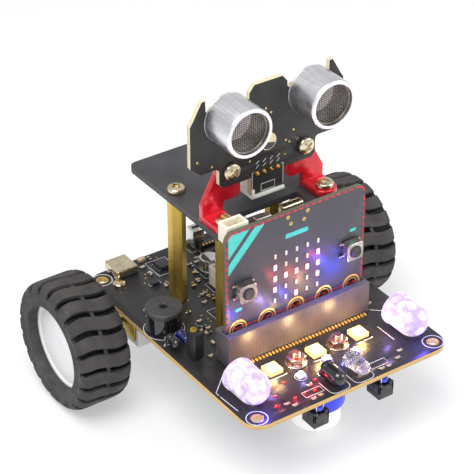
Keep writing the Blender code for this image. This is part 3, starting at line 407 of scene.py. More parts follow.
class Finish:
    """A Principled material with helpers that add noise, bands, bumps and colour mixes."""

    def __init__(self, name, colour, roughness, metallic=0.0, **values):
        self.material = bpy.data.materials.new(name)
        self.material.use_nodes = True
        self.tree = self.material.node_tree
        self.shader = self.tree.nodes["Principled BSDF"]
        self.shader.inputs["Base Color"].default_value = (*colour, 1.0)
        self.shader.inputs["Roughness"].default_value = roughness
        self.shader.inputs["Metallic"].default_value = metallic
        for key, value in values.items():
            self.shader.inputs[NAMED[key]].default_value = value
        self.material.diffuse_color = (*colour, 1.0)

    def node(self, kind, inputs=None, **settings):
        """Add a node with its settings and either values or links on its inputs."""
        made = self.tree.nodes.new(kind)
        for key, value in settings.items():
            setattr(made, key, value)
        for key, value in (inputs or {}).items():
            if isinstance(value, bpy.types.NodeSocket):
                self.tree.links.new(value, made.inputs[key])
            else:
                made.inputs[key].default_value = value
        return made

    def coords(self, stretch=(1, 1, 1)):
        """Object coordinates, stretched along each axis."""
        place = self.node("ShaderNodeTexCoord").outputs["Object"]
        if stretch == (1, 1, 1):
            return place
        return self.node("ShaderNodeMapping", {"Vector": place, "Scale": stretch}).outputs["Vector"]

    def noise(self, size, detail=3.0, stretch=(1, 1, 1)):
        """Smooth noise with grains of about a size in millimetres."""
        return self.node("ShaderNodeTexNoise", {"Vector": self.coords(stretch), "Scale": 1 / (size * MM),
            "Detail": detail}).outputs["Fac"]

    def cells(self, size, output="Distance", feature="F1", stretch=(1, 1, 1), metric="EUCLIDEAN"):
        """Cells of about a size in millimetres."""
        return self.node("ShaderNodeTexVoronoi", {"Vector": self.coords(stretch),
            "Scale": 1 / (size * MM)}, feature=feature, distance=metric).outputs[output]

    def bands(self, pitch, axis, twist=0.0):
        """Stripes across an axis, a pitch in millimetres apart."""
        return self.node("ShaderNodeTexWave", {"Vector": self.coords(), "Scale": 0.314 / (pitch * MM),
            "Distortion": twist, "Detail": 1.0}, wave_type="BANDS", bands_direction=axis).outputs["Fac"]

    def level(self, value, low, high, to_low=0.0, to_high=1.0):
        """A value's range from low to high taken to another range, and held there at its ends."""
        return self.node("ShaderNodeMapRange", {"Value": value, "From Min": low, "From Max": high,
            "To Min": to_low, "To Max": to_high}).outputs["Result"]

    def maths(self, operation, first, second=0.0):
        """One sum of two values."""
        return self.node("ShaderNodeMath", {0: first, 1: second}, operation=operation).outputs[0]

    def facing(self, axis):
        """1 on faces that look along an axis, 0 on the others."""
        normal = self.node("ShaderNodeNewGeometry").outputs["Normal"]
        part = self.node("ShaderNodeSeparateXYZ", {0: normal}).outputs[axis]
        return self.maths("GREATER_THAN", self.maths("ABSOLUTE", part), 0.7)

    def blend(self, share, first, second):
        """A mix of two colours."""
        made = self.node("ShaderNodeMix", data_type="RGBA")
        for socket, value in ((made.inputs[0], share), (made.inputs[6], first), (made.inputs[7], second)):
            if isinstance(value, bpy.types.NodeSocket):
                self.tree.links.new(value, socket)
            else:
                socket.default_value = (*value, 1.0) if isinstance(value, tuple) else value
        return made.outputs[2]

    def paint(self, socket, value):
        """Link a pattern to one of the shader's inputs."""
        self.tree.links.new(value, self.shader.inputs[socket])
        return self

    def bump(self, *heights):
        """Raise the surface by (height pattern, distance in millimetres) pairs, one on the next."""
        normal = None
        for height, distance in heights:
            inputs = {"Height": height, "Distance": distance * MM, "Strength": 1.0}
            if normal is not None:
                inputs["Normal"] = normal
            normal = self.node("ShaderNodeBump", inputs).outputs["Normal"]
        self.tree.links.new(normal, self.shader.inputs["Normal"])
        return self


NAMED = {
    "coat": "Coat Weight", "coat_roughness": "Coat Roughness", "specular": "Specular IOR Level",
    "glow": "Emission Color", "glow_strength": "Emission Strength", "transmission": "Transmission Weight",
    "ior": "IOR",
    "inner": "Subsurface Weight", "inner_depth": "Subsurface Scale",
}


def grainy(name, dark, light, roughness, size=1.2, metallic=0.0, relief=0.01, **values):
    """A finish whose colour and gloss drift a little, with a fine grain."""
    made = Finish(name, light, roughness, metallic, **values)
    drift = made.level(made.noise(size * 4, 4.0), 0.35, 0.68)
    made.paint("Base Color", made.blend(drift, dark, light))
    grain = made.noise(size * 0.25, 2.0)
    made.paint("Roughness", made.level(made.noise(size * 2.5, 3.0), 0.3, 0.7, roughness * 0.8,
        min(roughness * 1.25, 1.0)))
    return made.bump((grain, relief)).material


def board_finish(name, mask, edge, axis, gloss, show=0.6, trace=1.1):
    """A circuit board: a printed mask over fine copper tracks, with bare laminate on its edges.

    The tracks are stripes along two directions, each shown in some square cells and not in others.
    """
    made = Finish(name, mask, gloss, specular=0.3)
    across, up = [direction for direction in "XYZ" if direction != axis]
    choice = made.node("ShaderNodeSeparateColor", {0: made.cells(trace * 6, "Color",
        metric="CHEBYCHEV")}).outputs[0]
    first = made.level(made.bands(trace, across), 0.55, 0.72)
    second = made.level(made.bands(trace, up), 0.55, 0.72)
    lines = made.maths("ADD", made.maths("MULTIPLY", first, made.maths("GREATER_THAN", choice, 0.62)),
        made.maths("MULTIPLY", second, made.maths("LESS_THAN", choice, 0.3)))
    vias = made.level(made.cells(trace * 2.6, "Distance"), 0.1, 0.16, 1.0, 0.0)
    bright = tuple(value * 1.3 + 0.006 for value in mask)
    face = made.blend(made.maths("MULTIPLY", lines, show), mask, bright)
    face = made.blend(made.maths("MULTIPLY", made.level(made.noise(9), 0.3, 0.7), 0.35), face, bright)
    layers = made.level(made.noise(0.35), 0.35, 0.7)
    dim_edge = tuple(value * 0.72 for value in edge)
    side = made.blend(layers, dim_edge, edge)
    made.paint("Base Color", made.blend(made.facing(axis), side, face))
    made.paint("Roughness", made.level(made.noise(3.0, 4.0), 0.3, 0.7, gloss * 0.8, gloss * 1.3))
    return made.bump((lines, 0.012 * show), (vias, 0.01 * show), (made.noise(0.25), 0.004)).material


def glowing(name, colour, strength, body=(0.9, 0.9, 0.9), lift=0.08):
    """A lamp's lit face, with paler grains in it."""
    made = Finish(name, body, 0.35, glow=(*colour, 1.0), glow_strength=strength)
    pale = tuple(min(1.0, value * 1.15 + lift) for value in colour)
    made.paint("Emission Color", made.blend(made.level(made.noise(0.5, 2.0), 0.35, 0.65), colour, pale))
    return made.material


def brass_finish():
    """Turned brass: long fine streaks up its length and a slow change of gloss."""
    made = Finish("turned brass", (0.66, 0.46, 0.1), 0.32, 0.9)
    streaks = made.noise(1.1, 3.0, (1, 1, 0.02))
    made.paint("Base Color", made.blend(made.level(streaks, 0.3, 0.7), (0.58, 0.4, 0.075),
        (0.74, 0.53, 0.13)))
    made.paint("Roughness", made.level(made.noise(6.0), 0.3, 0.7, 0.27, 0.38))
    return made.bump((streaks, 0.0015)).material


def aluminium_finish():
    """Drawn aluminium can: soft satin with fine streaks along its axis."""
    made = Finish("drawn aluminium", (0.83, 0.83, 0.86), 0.33, 1.0)
    streaks = made.noise(0.6, 4.0, (1, 0.04, 1))
    made.paint("Base Color", made.blend(made.level(streaks, 0.35, 0.65), (0.74, 0.74, 0.78),
        (0.9, 0.9, 0.93)))
    made.paint("Roughness", made.level(made.noise(3.0), 0.3, 0.7, 0.27, 0.42))
    return made.bump((streaks, 0.004)).material


def rubber_finish():
    """Moulded tyre rubber: dark warm grey, dusty on its lugs, with painted shade darkening the floors of
    its grooves.
    """
    made = Finish("tyre rubber", (0.05, 0.047, 0.046), 0.7, specular=0.3)
    patch = made.level(made.noise(5.0, 5.0), 0.35, 0.68)
    tread_colour = made.blend(patch, (0.044, 0.042, 0.041), (0.072, 0.068, 0.066))
    part = made.node("ShaderNodeSeparateXYZ", {0: made.coords()}).outputs
    middle = box("tyre_right")[2]
    over = made.maths("SUBTRACT", part["Z"], middle[2] * MM)
    along = made.maths("SUBTRACT", part["Y"], middle[1] * MM)
    reach = made.maths("SQRT", made.maths("ADD", made.maths("MULTIPLY", over, over),
        made.maths("MULTIPLY", along, along)))
    aside = made.maths("ABSOLUTE", made.maths("SUBTRACT", made.maths("ABSOLUTE", part["X"]),
        middle[0] * MM))
    # painted shade: the floors of the grooves get a near-black colour, standing in for the shade that falls
    # in them
    floor = made.maths("MULTIPLY", made.level(reach, 0.0197, 0.0205, 1.0, 0.0),
        made.maths("GREATER_THAN", reach, 0.017))
    floor = made.maths("MULTIPLY", floor, made.maths("LESS_THAN", aside, 0.0081))
    made.paint("Base Color", made.blend(floor, tread_colour, (0.012, 0.011, 0.011)))
    made.paint("Roughness", made.level(made.noise(1.5, 4.0), 0.3, 0.7, 0.56, 0.82))
    skin = made.noise(0.22, 4.0)
    return made.bump((skin, 0.025), (made.noise(1.6, 3.0), 0.03)).material


def bracket_finish():
    """Red anodised sheet: glossy, with a soft metal glint and a faint grain."""
    made = Finish("red anodised sheet", (0.72, 0.012, 0.03), 0.28, 0.35, coat=0.7, coat_roughness=0.08)
    made.paint("Base Color", made.blend(made.level(made.noise(4.0), 0.35, 0.65), (0.6, 0.008, 0.022),
        (0.8, 0.018, 0.04)))
    return made.bump((made.noise(0.5, 3.0), 0.006)).material


def smoke_finish():
    """Smoky clear plastic: grey-violet, with the contacts inside as faint upright bars."""
    made = Finish("smoky plastic", (0.1, 0.088, 0.1), 0.32, inner=0.4, inner_depth=0.002, specular=0.4)
    bars = made.level(made.bands(PITCH, "X"), 0.3, 0.8)
    cloud = made.level(made.noise(7.0, 3.0), 0.35, 0.65)
    made.paint("Base Color", made.blend(made.maths("MULTIPLY", bars, 0.18),
        made.blend(cloud, (0.075, 0.066, 0.085), (0.13, 0.112, 0.12)), (0.2, 0.17, 0.18)))
    return made.bump((made.noise(0.4), 0.006)).material


def headlamp_finish():
    """A lit clear lamp: overbright white, broken by lilac and grey patches like cut glass."""
    made = Finish("lit headlamp", (0.42, 0.36, 0.5), 0.1, glow=(1.0, 0.93, 1.0, 1.0), glow_strength=0.5)
    cut = made.level(made.cells(3.4, feature="DISTANCE_TO_EDGE"), 0.02, 0.16)
    grain = made.level(made.noise(2.6, 3.0), 0.4, 0.62)
    glass = made.blend(grain, (0.8, 0.68, 0.92), (1.0, 0.95, 0.92))
    made.paint("Emission Color", made.blend(cut, (0.52, 0.38, 0.74), glass))
    made.paint("Base Color", made.blend(grain, (0.34, 0.26, 0.5), (0.6, 0.54, 0.6)))
    return made.bump((made.cells(2.6, "Distance"), 0.2), (made.noise(0.9), 0.03)).material


FINISH = dict(
    mask=board_finish("black solder mask", (0.021, 0.0205, 0.023), (0.78, 0.51, 0.19), "Z", 0.32),
    card_mask=board_finish("slate solder mask", (0.075, 0.075, 0.088), (0.16, 0.14, 0.11), "Y", 0.36,
        0.0),
    sensor_mask=board_finish("black sensor mask", (0.028, 0.027, 0.027), (0.78, 0.7, 0.48), "Y", 0.34),
    plate=grainy("satin black plate", (0.048, 0.046, 0.05), (0.066, 0.063, 0.069), 0.45, 2.5,
        relief=0.006, specular=0.35),
    print=grainy("white print", (0.62, 0.62, 0.62), (0.8, 0.8, 0.8), 0.5, 0.5),
    turquoise=grainy("turquoise print", (0.05, 0.56, 0.5), (0.07, 0.66, 0.58), 0.4, 0.8),
    dash=grainy("red print", (0.6, 0.01, 0.02), (0.8, 0.02, 0.03), 0.45, 0.5),
    gold=grainy("gold plating", (0.75, 0.48, 0.14), (0.95, 0.66, 0.25), 0.22, 0.7, 1.0),
    solder=grainy("bright solder", (0.62, 0.62, 0.64), (0.85, 0.85, 0.86), 0.22, 0.5, 1.0, 0.02),
    nickel=grainy("warm nickel", (0.66, 0.56, 0.38), (0.86, 0.77, 0.57), 0.2, 0.8, 1.0),
    steel=grainy("pressed steel", (0.62, 0.6, 0.58), (0.83, 0.81, 0.78), 0.24, 0.9, 1.0),
    shaft=grainy("ground steel", (0.5, 0.5, 0.52), (0.72, 0.72, 0.74), 0.28, 0.6, 1.0),
    black=grainy("black moulding", (0.014, 0.014, 0.016), (0.028, 0.028, 0.031), 0.38, 1.0, coat=0.2,
        coat_roughness=0.25),
    grey_black=grainy("soft black moulding", (0.035, 0.034, 0.036), (0.06, 0.058, 0.062), 0.5, 1.0),
    copper=grainy("copper plating", (0.62, 0.34, 0.22), (0.86, 0.56, 0.4), 0.25, 0.7, 1.0),
    ring_gold=grainy("bright gold print", (0.85, 0.48, 0.08), (1.0, 0.66, 0.18), 0.4, 0.6, 0.45),
    rim_white=grainy("white rim", (0.84, 0.83, 0.83), (0.92, 0.91, 0.91), 0.4, 0.8),
    white=grainy("white moulding", (0.8, 0.79, 0.74), (0.9, 0.89, 0.86), 0.4, 1.5, inner=0.2,
        inner_depth=0.001),
    cream=grainy("cream moulding", (0.78, 0.72, 0.58), (0.88, 0.84, 0.72), 0.42, 1.2, inner=0.2,
        inner_depth=0.001),
    hub=grainy("white wheel moulding", (0.88, 0.88, 0.9), (0.94, 0.94, 0.95), 0.35, 4.0, relief=0.004),
    # painted light: this blue moulding glows faintly to brighten the caster housing
    blue=grainy("blue moulding with painted glow", (0.015, 0.025, 0.68), (0.025, 0.05, 0.92), 0.3, 2.0, coat=0.3,
        coat_roughness=0.1, glow=(0.02, 0.05, 1.0, 1.0), glow_strength=0.22),
    chip_tan=grainy("ceramic chip", (0.42, 0.3, 0.18), (0.6, 0.46, 0.3), 0.5, 0.4),
    lens_black=grainy("black epoxy lens", (0.006, 0.006, 0.008), (0.014, 0.013, 0.018), 0.09, 2.0,
        relief=0.0, coat=0.8, coat_roughness=0.03),
    # painted light: this white moulding glows faintly so the ball cup stays white in the shade under the
    # board
    cup=grainy("white moulding with painted glow", (0.86, 0.86, 0.84), (0.92, 0.92, 0.9), 0.4, 1.5,
        glow=(1.0, 1.0, 0.98, 1.0), glow_strength=0.3),
    lens_clear=grainy("clear epoxy lens", (0.9, 0.88, 0.97), (1.0, 0.98, 1.0), 0.045, 1.5,
        relief=0.002, transmission=0.95, ior=1.5),
    lens_navy=grainy("dark blue epoxy lens", (0.004, 0.006, 0.08), (0.008, 0.012, 0.17), 0.1, 1.5,
        relief=0.0, coat=0.7, coat_roughness=0.05),
    lens_blue=grainy("blue epoxy lens", (0.01, 0.02, 0.35), (0.02, 0.05, 0.7), 0.12, 1.5, relief=0.0,
        coat=0.6, glow=(0.05, 0.08, 0.9, 1.0), glow_strength=0.25),
    sleeve=grainy("shrink sleeve", (0.03, 0.22, 0.12), (0.05, 0.33, 0.18), 0.3, 3.0, coat=0.4,
        coat_roughness=0.1),
    brass=brass_finish(),
    aluminium=aluminium_finish(),
    rubber=rubber_finish(),
    red=bracket_finish(),
    smoke=smoke_finish(),
    headlamp=headlamp_finish(),
    warm_light=glowing("warm lamp light", (1.0, 0.8, 0.42), 6.0),
    matrix_on=glowing("lit red dot", (1.0, 0.05, 0.09), 2.6),
    matrix_core=glowing("lit white dot", (1.0, 0.75, 0.75), 2.2),
    bronze_steel=grainy("warm pressed steel", (0.42, 0.36, 0.33), (0.62, 0.55, 0.5), 0.3, 0.9, 1.0),
    lamp_body=glowing("warm glowing lamp body", (1.0, 0.68, 0.26), 0.95, (0.42, 0.28, 0.1)),
    cool_body=glowing("cool glowing lamp body", (0.5, 0.55, 1.0), 0.85, (0.3, 0.3, 0.5)),
    # painted light: the sounder face glows, standing in for the light that reaches into the can
    pale_face=grainy("sounder face with painted light", (0.5, 0.48, 0.5), (0.85, 0.82, 0.86), 0.4, 0.7, 0.2,
        glow=(0.95, 0.88, 0.92, 1.0), glow_strength=0.45),
    mesh=grainy("dark wire", (0.2, 0.18, 0.16), (0.36, 0.33, 0.3), 0.36, 1.4, 0.8),
    ball=grainy("polished white ball", (0.82, 0.82, 0.82), (0.9, 0.9, 0.9), 0.2, 2.0, relief=0.0),
    lead_red=grainy("red lead", (0.5, 0.01, 0.01), (0.68, 0.02, 0.02), 0.35, 0.7),
    lead_black=grainy("black lead", (0.015, 0.015, 0.015), (0.03, 0.03, 0.03), 0.35, 0.7),
    floor=grainy("pale floor", (0.52, 0.52, 0.525), (0.54, 0.54, 0.545), 0.75, 40.0, relief=0.0,
        glow=(1.0, 1.0, 1.0, 1.0), glow_strength=0.42),
    red_light=glowing("small red lamp", (1.0, 0.015, 0.02), 1.7, (0.35, 0.01, 0.015), 0.01),
    blue_light=glowing("small blue lamp", (0.3, 0.4, 1.0), 3.5),
)


# Wheels

LUGS = 21
GROOVE = 2.5                    # groove depth in the middle
SNAKE = 0.8                     # how far a groove swings to each side


def tread(half, radius, mirror):
    """A tyre's surface round +X: equal lugs with a groove between each two.

    A point at share t of the width, on lug number n at share s of it, has the angle
    2 pi (n + s) / lugs + path(t) / radius, where the path is t - 0.8 sin(2 pi t) mm, so the grooves
    snake across. The tread falls away by 2.2 (x / half)^8 towards the shoulders, and the groove
    is deepest in the middle. A narrow bridge joins the lugs along the middle line.
    """
    share = np.array([0, 0.03, 0.05, 0.16, 0.27, 0.29, 0.32, 0.34, 0.4, 0.5, 0.66, 0.82, 0.94, 0.98])
    sunk = np.interp(share, [0.02, 0.05, 0.27, 0.31], [0, 1, 1, 0])
    worn = np.interp(share, [0.31, 0.35, 0.96, 1.0], [0.16, 0, 0, 0.16])
    lug = (np.arange(LUGS)[:, None] + share).ravel()[:, None] * 2 * np.pi / LUGS
    sunk = np.tile(sunk, LUGS)[:, None]
    worn = np.tile(worn, LUGS)[:, None]
    x = np.concatenate([[-1, -0.97, -0.93, -0.88], np.linspace(-0.82, -0.14, 9),
        [-0.075, -0.055, 0.055, 0.075], np.linspace(0.14, 0.82, 9), [0.88, 0.93, 0.97, 1]])[None, :]
    bridge = np.where(abs(x) < 0.06, 0.25, 1.0)
    top = radius - 2.2 * abs(x) ** 8
    depth = GROOVE * (1 - 0.5 * abs(x) ** 6) * bridge
    reach = top - depth * sunk - worn * bridge
    side = [(1.0, radius - 2.9), (0.985, 17.7), (0.96, 16.6), (0.965, 15.4), (0.99, 14.75), (0.98, 14.35),
        (0.95, 14.2), (0.63, 14.2), (0.6, 14.45), (0.598, 15.7), (0.58, 15.8)]
    out_x, out_r = np.array(side).T
    all_x = np.concatenate([x[0], out_x, -out_x[::-1], x[0][:1]])
    flat = np.ones((len(lug), 1))
    all_r = np.hstack([reach, flat * out_r, flat * out_r[::-1], reach[:, :1]])
    t = (all_x + 1) / 2
    path = t - SNAKE * np.sin(2 * np.pi * t)
    angle = lug + mirror * path[None, :] / radius
    points = np.stack([flat * all_x * half * mirror, -all_r * np.sin(angle), all_r * np.cos(angle)],
        axis=-1)
    return grid(points)


def make_wheels():
    hub_profile = soften([(0, 4.45), (1.6, 4.45), (1.9, 4.3), (13.8, 4.3), (14.3, 5.05), (15.6, 5.05),
        (15.6, -5.05), (13.7, -5.05), (12.9, -2.2), (4.0, -2.2), (3.6, -6.6), (1.8, -6.6), (1.8, 0.3),
        (0, 0.3)], 0.4, 3)
    for side, sign in SIDES:
        out = "x" if sign > 0 else "-x"
        low, high, middle = box(f"tyre_{side}")
        half = (high[0] - low[0]) / 2
        surface = tread(half, (high[2] - low[2]) / 2, sign)
        stand_for(f"grooved_tyre_{side}", f"tyre_{side}", 40, rubber=[placed(surface, middle)])
        ribs = [placed(spun(rounded_box((8.3, 0, -3.3), (9.6, 1.3, 2.6), 0.2), turn), middle, out)
            for turn in range(0, 360, 60)]
        disc = lathe(hub_profile, middle, out, 72)
        stand_for(f"wheel_disc_{side}", f"hub_{side}", hub=[disc] + ribs)
        low, high, middle = box(f"wheel_shaft_{side}")
        root = low[0] if sign > 0 else high[0]
        shaft = drum(1.5, high[0] - low[0], 0.25, (root, middle[1], middle[2]), out, 32)
        stand_for(f"axle_{side}", f"wheel_shaft_{side}", shaft=[shaft])


# Drive

def flatted(angle):
    """Reach of a round can of radius 5.9 with two flats 4.7 from its middle."""
    return np.minimum(1, 4.7 / 5.9 / np.maximum(abs(np.cos(angle)), 1e-3))


def toothed(teeth):
    """Reach of a gear: 1 + 0.09 times a wave with its tops and bottoms cut flat."""
    return lambda angle: 1 + 0.09 * np.clip(1.8 * np.sin(teeth * angle), -1, 1)


def make_motors():
    for side, sign in SIDES:
        out = "x" if sign > 0 else "-x"
        low, high, middle = box(f"motor_{side}")
        face = high[0] if sign > 0 else -low[0]

        def at(x, y=0.0, z=0.0):
            return sign * x, middle[1] + y, middle[2] + z

        plates = [rounded_box(at(face - depth), (thick, 12.0, 9.4), 0.25)
            for depth, thick in ((0.6, 1.2), (4.9, 0.8), (8.5, 1.0))]
        posts = [drum(0.7, 8.2, 0.1, at(face - 8.6, y, z), out, 16) for y in (-5, 5) for z in (-3.7, 3.7)]
        gears = []
        for x, y, z, radius, teeth in ((4.2, -2.2, 0.4, 3.1, 22), (2.6, 2.6, -0.6, 2.7, 18),
                                       (7.9, 2.0, 0.8, 2.9, 20), (7.2, -2.6, -0.8, 2.0, 14)):
            wheel = soften([(0, 1.1), (radius, 1.1), (radius, 0), (0, 0)], 0.1)
            gears.append(lathe(wheel, at(face - x, y, z), out, teeth * 6, toothed(teeth)))
        can = soften([(0, 14.2), (5.9, 14.2), (5.9, 0.4), (5.3, 0), (0, 0)], 0.3)
        shell = lathe(can, at(face - 23.3), out, 72, flatted)
        cap = lathe(soften([(0, 0.9), (4.4, 0.9), (4.4, 0), (0, 0)], 0.2), at(face - 24.0), out, 40)
        bush = drum(1.9, 0.8, 0.2, at(face - 24.0), out, 24)
        tabs = [rounded_box(at(face - 23.4, y), (1.2, 1.6, 0.4), 0.1) for y in (-3.4, 3.4)]
        stand_for(f"gear_motor_{side}", f"motor_{side}", brass=plates + posts, shaft=gears, steel=[shell],
            white=[cap], nickel=[bush] + tabs)
        soften_node(f"motor_clamp_{side}", f"motor_mount_{side}", "white", 0.35, 3)
        low, high, middle = box(f"motor_mount_{side}")
        screws = []
        nuts = []
        for y in (-9.2, 9.2):
            place = (middle[0] + 0.4 * sign, middle[1] + y)
            screws += [screw_head(2.1, 1.4, (*place, DECK + 0.02), "z", 25),
                thread(1.0, 7.6, 0.4, (*place, DECK - 7.4))]
            nuts.append(hex_bar(4.0, 1.6, 1.05, (*place, high[2] - 2.0 - 1.62)))
        add_piece(f"clamp_screws_{side}", "chassis", "screw_steel", nickel=screws, steel=nuts)


# Upright parts

def make_uprights():
    for end in ("front", "rear"):
        for side, _ in SIDES:
            low, high, middle = box(f"standoff_{end}_{side}")
            bar = hex_bar(5.0, high[2] - low[2] + 0.56, 0.6, (middle[0], middle[1], low[2] - 0.28))
            stand_for(f"brass_pillar_{end}_{side}", f"standoff_{end}_{side}", brass=[bar])
            low, high, middle = box(f"plate_screw_{end}_{side}")
            seat = high[2] - HEAD_TALL
            head = screw_head(HEAD_RADIUS, HEAD_TALL, (middle[0], middle[1], seat), "z", 12
                + 31 * (middle[0] > 0))
            shank = thread(M3, seat - low[2] + 0.1, 0.5, (middle[0], middle[1], low[2]))
            stand_for(f"pan_screw_{end}_{side}", f"plate_screw_{end}_{side}", nickel=[head, shank])
    soften_node("upper_deck", "top_plate", "plate", 0.3, 3)
    for side, _ in SIDES:
        soften_node(f"red_bracket_{side}", f"sensor_bracket_{side}", "red", 0.3, 3)
        low, high, middle = box(f"sensor_screw_{side}")
        seat = low[1] + HEAD_TALL
        head = screw_head(HEAD_RADIUS, HEAD_TALL, (middle[0], seat, middle[2]), "-y", 40)
        shank = thread(M3, high[1] - seat + 0.1, 0.5, (middle[0], high[1], middle[2]), "-y")
        nut = hex_bar(5.0, 1.6, 1.5, (middle[0], high[1] - 0.35, middle[2]), "-y")
        stand_for(f"ear_screw_{side}", f"sensor_screw_{side}", nickel=[head, shank], steel=[nut])


# Distance sensor

def upright(shape, face):
    """A flat shape stood up on a face that looks forwards."""
    return placed(shape, (0, face, 0), "-y")


def woven_disc(radius, pitch, wire, centre, direction):
    """Plain weave in a disc: a wire along u rises by wire cos(pi u / pitch), each next one turned over."""
    wires = []
    count = int(radius / pitch)
    for line in range(-count, count + 1):
        v = line * pitch
        reach = math.sqrt(max(radius ** 2 - v ** 2, 0.2))
        u = np.linspace(-reach, reach, max(int(4 * reach / pitch), 6))
        rise = wire * np.cos(np.pi * u / pitch) * (1 if line % 2 else -1)
        wires.append(tube(np.column_stack([u, v + 0 * u, rise]), wire, 5))
        wires.append(tube(np.column_stack([v + 0 * u, u, -rise]), wire, 5))
    return placed(joined(wires), centre, direction)


def make_sensor():
    soften_node("sensor_circuit_board", "sensor_board", "sensor_mask", 0.12)
    for side, sign in SIDES:
        low, high, middle = box(f"sensor_eye_{side}")
        base = (middle[0], high[1] + 0.28, middle[2])
        length = base[1] - low[1]
        can = soften([(0, 0.2), (7.0, 0.2), (7.0, length - 0.9), (6.75, length - 0.5), (6.75, length),
            (7.55, length), (7.95, length - 0.45), (7.95, 0.5), (8.05, 0.45), (8.05, 0), (0, 0)], 0.18, 3)
        shell = lathe(can[::-1], base, "-y", 96)
        # painted shade: the dark floor ring round the face and the dark liner on the can's inner wall stand
        # in for the shade inside the can
        floor = drum(6.9, 0.4, 0.05, (base[0], base[1] - 3.0, base[2]), "-y", 64)
        # this face disc takes the glowing sounder face finish: painted light
        face = drum(6.2, 0.5, 0.15, (base[0], base[1] - 3.3, base[2]), "-y", 64)
        shade_liner = ring(6.78, 6.95, length - 5.3, (base[0], base[1] - 3.3, base[2]), "-y", 64, 0.05)
        mesh = woven_disc(6.85, 0.66, 0.12, (base[0], low[1] + 1.9, base[2]), "-y")
        lip = ring(6.3, 6.85, 0.5, (base[0], low[1] + 1.75, base[2]), "-y", 64, 0.12)
        rim = ring(6.72, 7.62, 0.12, (base[0], low[1] + 0.1, base[2]), "-y", 96, 0.05)
        stand_for(f"transducer_{side}", f"sensor_eye_{side}", aluminium=[shell], grey_black=[floor, shade_liner],
            pale_face=[face], mesh=[mesh, lip], rim_white=[rim])
    face = box("sensor_board")[0][1]
    back = box("sensor_board")[1][1]
    both_faces = ((face, "-y"), (back, "y"))

    can = lathe(soften([(0, 5.4), (2.75, 5.4), (3.1, 5.0), (3.1, 0.5), (3.3, 0.4), (3.3, 0), (0, 0)],
        0.15), (-3.6, face, 94.6), "-y", 48)
    moon = plate(circle(0, 0, 2.5, 170, 350, 24)[:-1], 5.38, 5.44, 0.0, "-y", (-3.6, face, 94.6))
    add_piece("sensor_can", "chassis", "steel", nickel=[can], grey_black=[moon])
    lines = [(closed([(-2.4, 74.4), (2.6, 74.4), (2.6, 76.9), (-2.4, 76.9)]), 0.25)]
    lines += [([(x, 74.4), (x, 81.8), (x - math.copysign(0.8, x), 81.8)], 0.2) for x in (-5.7, 5.7)]
    lines += [([(x - 0.5, z - 0.4), (x + 0.5, z + 0.5)], 0.24) for x in SENSOR_PINS for z in (83.4, 84.9)]
    outlines = [upright(ribbon(path, width, 0, 0.03), face) for path, width in lines]
    add_piece("sensor_print", "chassis", "plastic_white", print=outlines)
    rims = []
    for x in SENSOR_PINS:
        rims += [ring(0.3, 0.75, 0.06, (x, y, 81.0), out, 20, 0.02) for y, out in both_faces]
    for x, z in ((-0.9, 102.5), (1.0, 100.6), (9.4, 92.0), (6.6, 89.3), (7.9, 88.3), (6.3, 84.4),
                 (-6.6, 86.2), (-25.4, 92.0), (25.4, 92.0), (-20.2, 88.9), (20.2, 88.9)):
        rims += [ring(0.12, 0.36, 0.05, (x, y, z), out, 18, 0.02) for y, out in both_faces]
    add_piece("sensor_pads", "chassis", "brass", gold=rims)
    bits = []
    feet = []
    for x, z, wide, tall in [(-17.5, 100.0, 6.0, 4.2), (0, 101.0, 5.0, 6.2), (16.5, 100.4, 6.0, 4.2)]:
        bits.append(rounded_box((x, back + 0.75, z), (wide, 1.3, tall), 0.15))
        for side in (-1, 1):
            for row in range(-2, 3):
                feet.append(rounded_box((x + row * wide / 6, back + 0.25, z + side * (tall / 2 + 0.4)),
                    (0.4, 0.4, 1.0), 0.1))
    tans = []
    for x in np.linspace(-22, 22, 15):
        for z in (92.6, 106.3):
            if abs(x) > 3 and abs(abs(x) - 15) > 0.5:
                tans.append(rounded_box((x, back + 0.3, z), (1.1, 0.55, 1.9), 0.1))
    add_piece("sensor_chips", "chassis", "plastic_black", black=bits, solder=feet, chip_tan=tans)
    soften_node("sensor_plug_shroud", "sensor_socket", "white", 0.25)
    low, high, middle = box("sensor_socket")
    lip = [span((low[0], face - 0.6, low[2]), (high[0], low[1] + 0.3, low[2] + 1.1), 0.25),
        span((low[0], face - 0.6, low[2]), (low[0] + 1.1, face - 0.05, low[2] + 3.4), 0.25)]
    add_piece("sensor_plug_lip", "chassis", "plastic_white", white=lip)
    pins = [rounded_box((x, middle[1] - 1.0, middle[2]), (0.6, 6.0, 0.6), 0.12) for x in SENSOR_PINS]
    tails = [rounded_box((x, face - 0.35, 81.0), (0.6, 0.9, 0.6), 0.12) for x in SENSOR_PINS]
    add_piece("sensor_pins", "chassis", "brass", gold=pins + tails)


# Controller card

def square_collar(inner, outer, height, centre, direction, sides=72):
    """A ring with a round hole and an outline |x|^9 + |y|^9 = outer^9, a square with round corners."""
    angle = angles(sides)
    reach = outer * (abs(np.cos(angle)) ** 9 + abs(np.sin(angle)) ** 9) ** (-1 / 9)
    hole = inner + 0 * angle
    radius = np.hstack([hole + 0.15, reach - 0.2, reach, reach, hole, hole, hole + 0.15])
    level = np.array([height, height, height - 0.2, 0, 0, height - 0.15, height])
    return around(angle, radius, level, centre, direction)


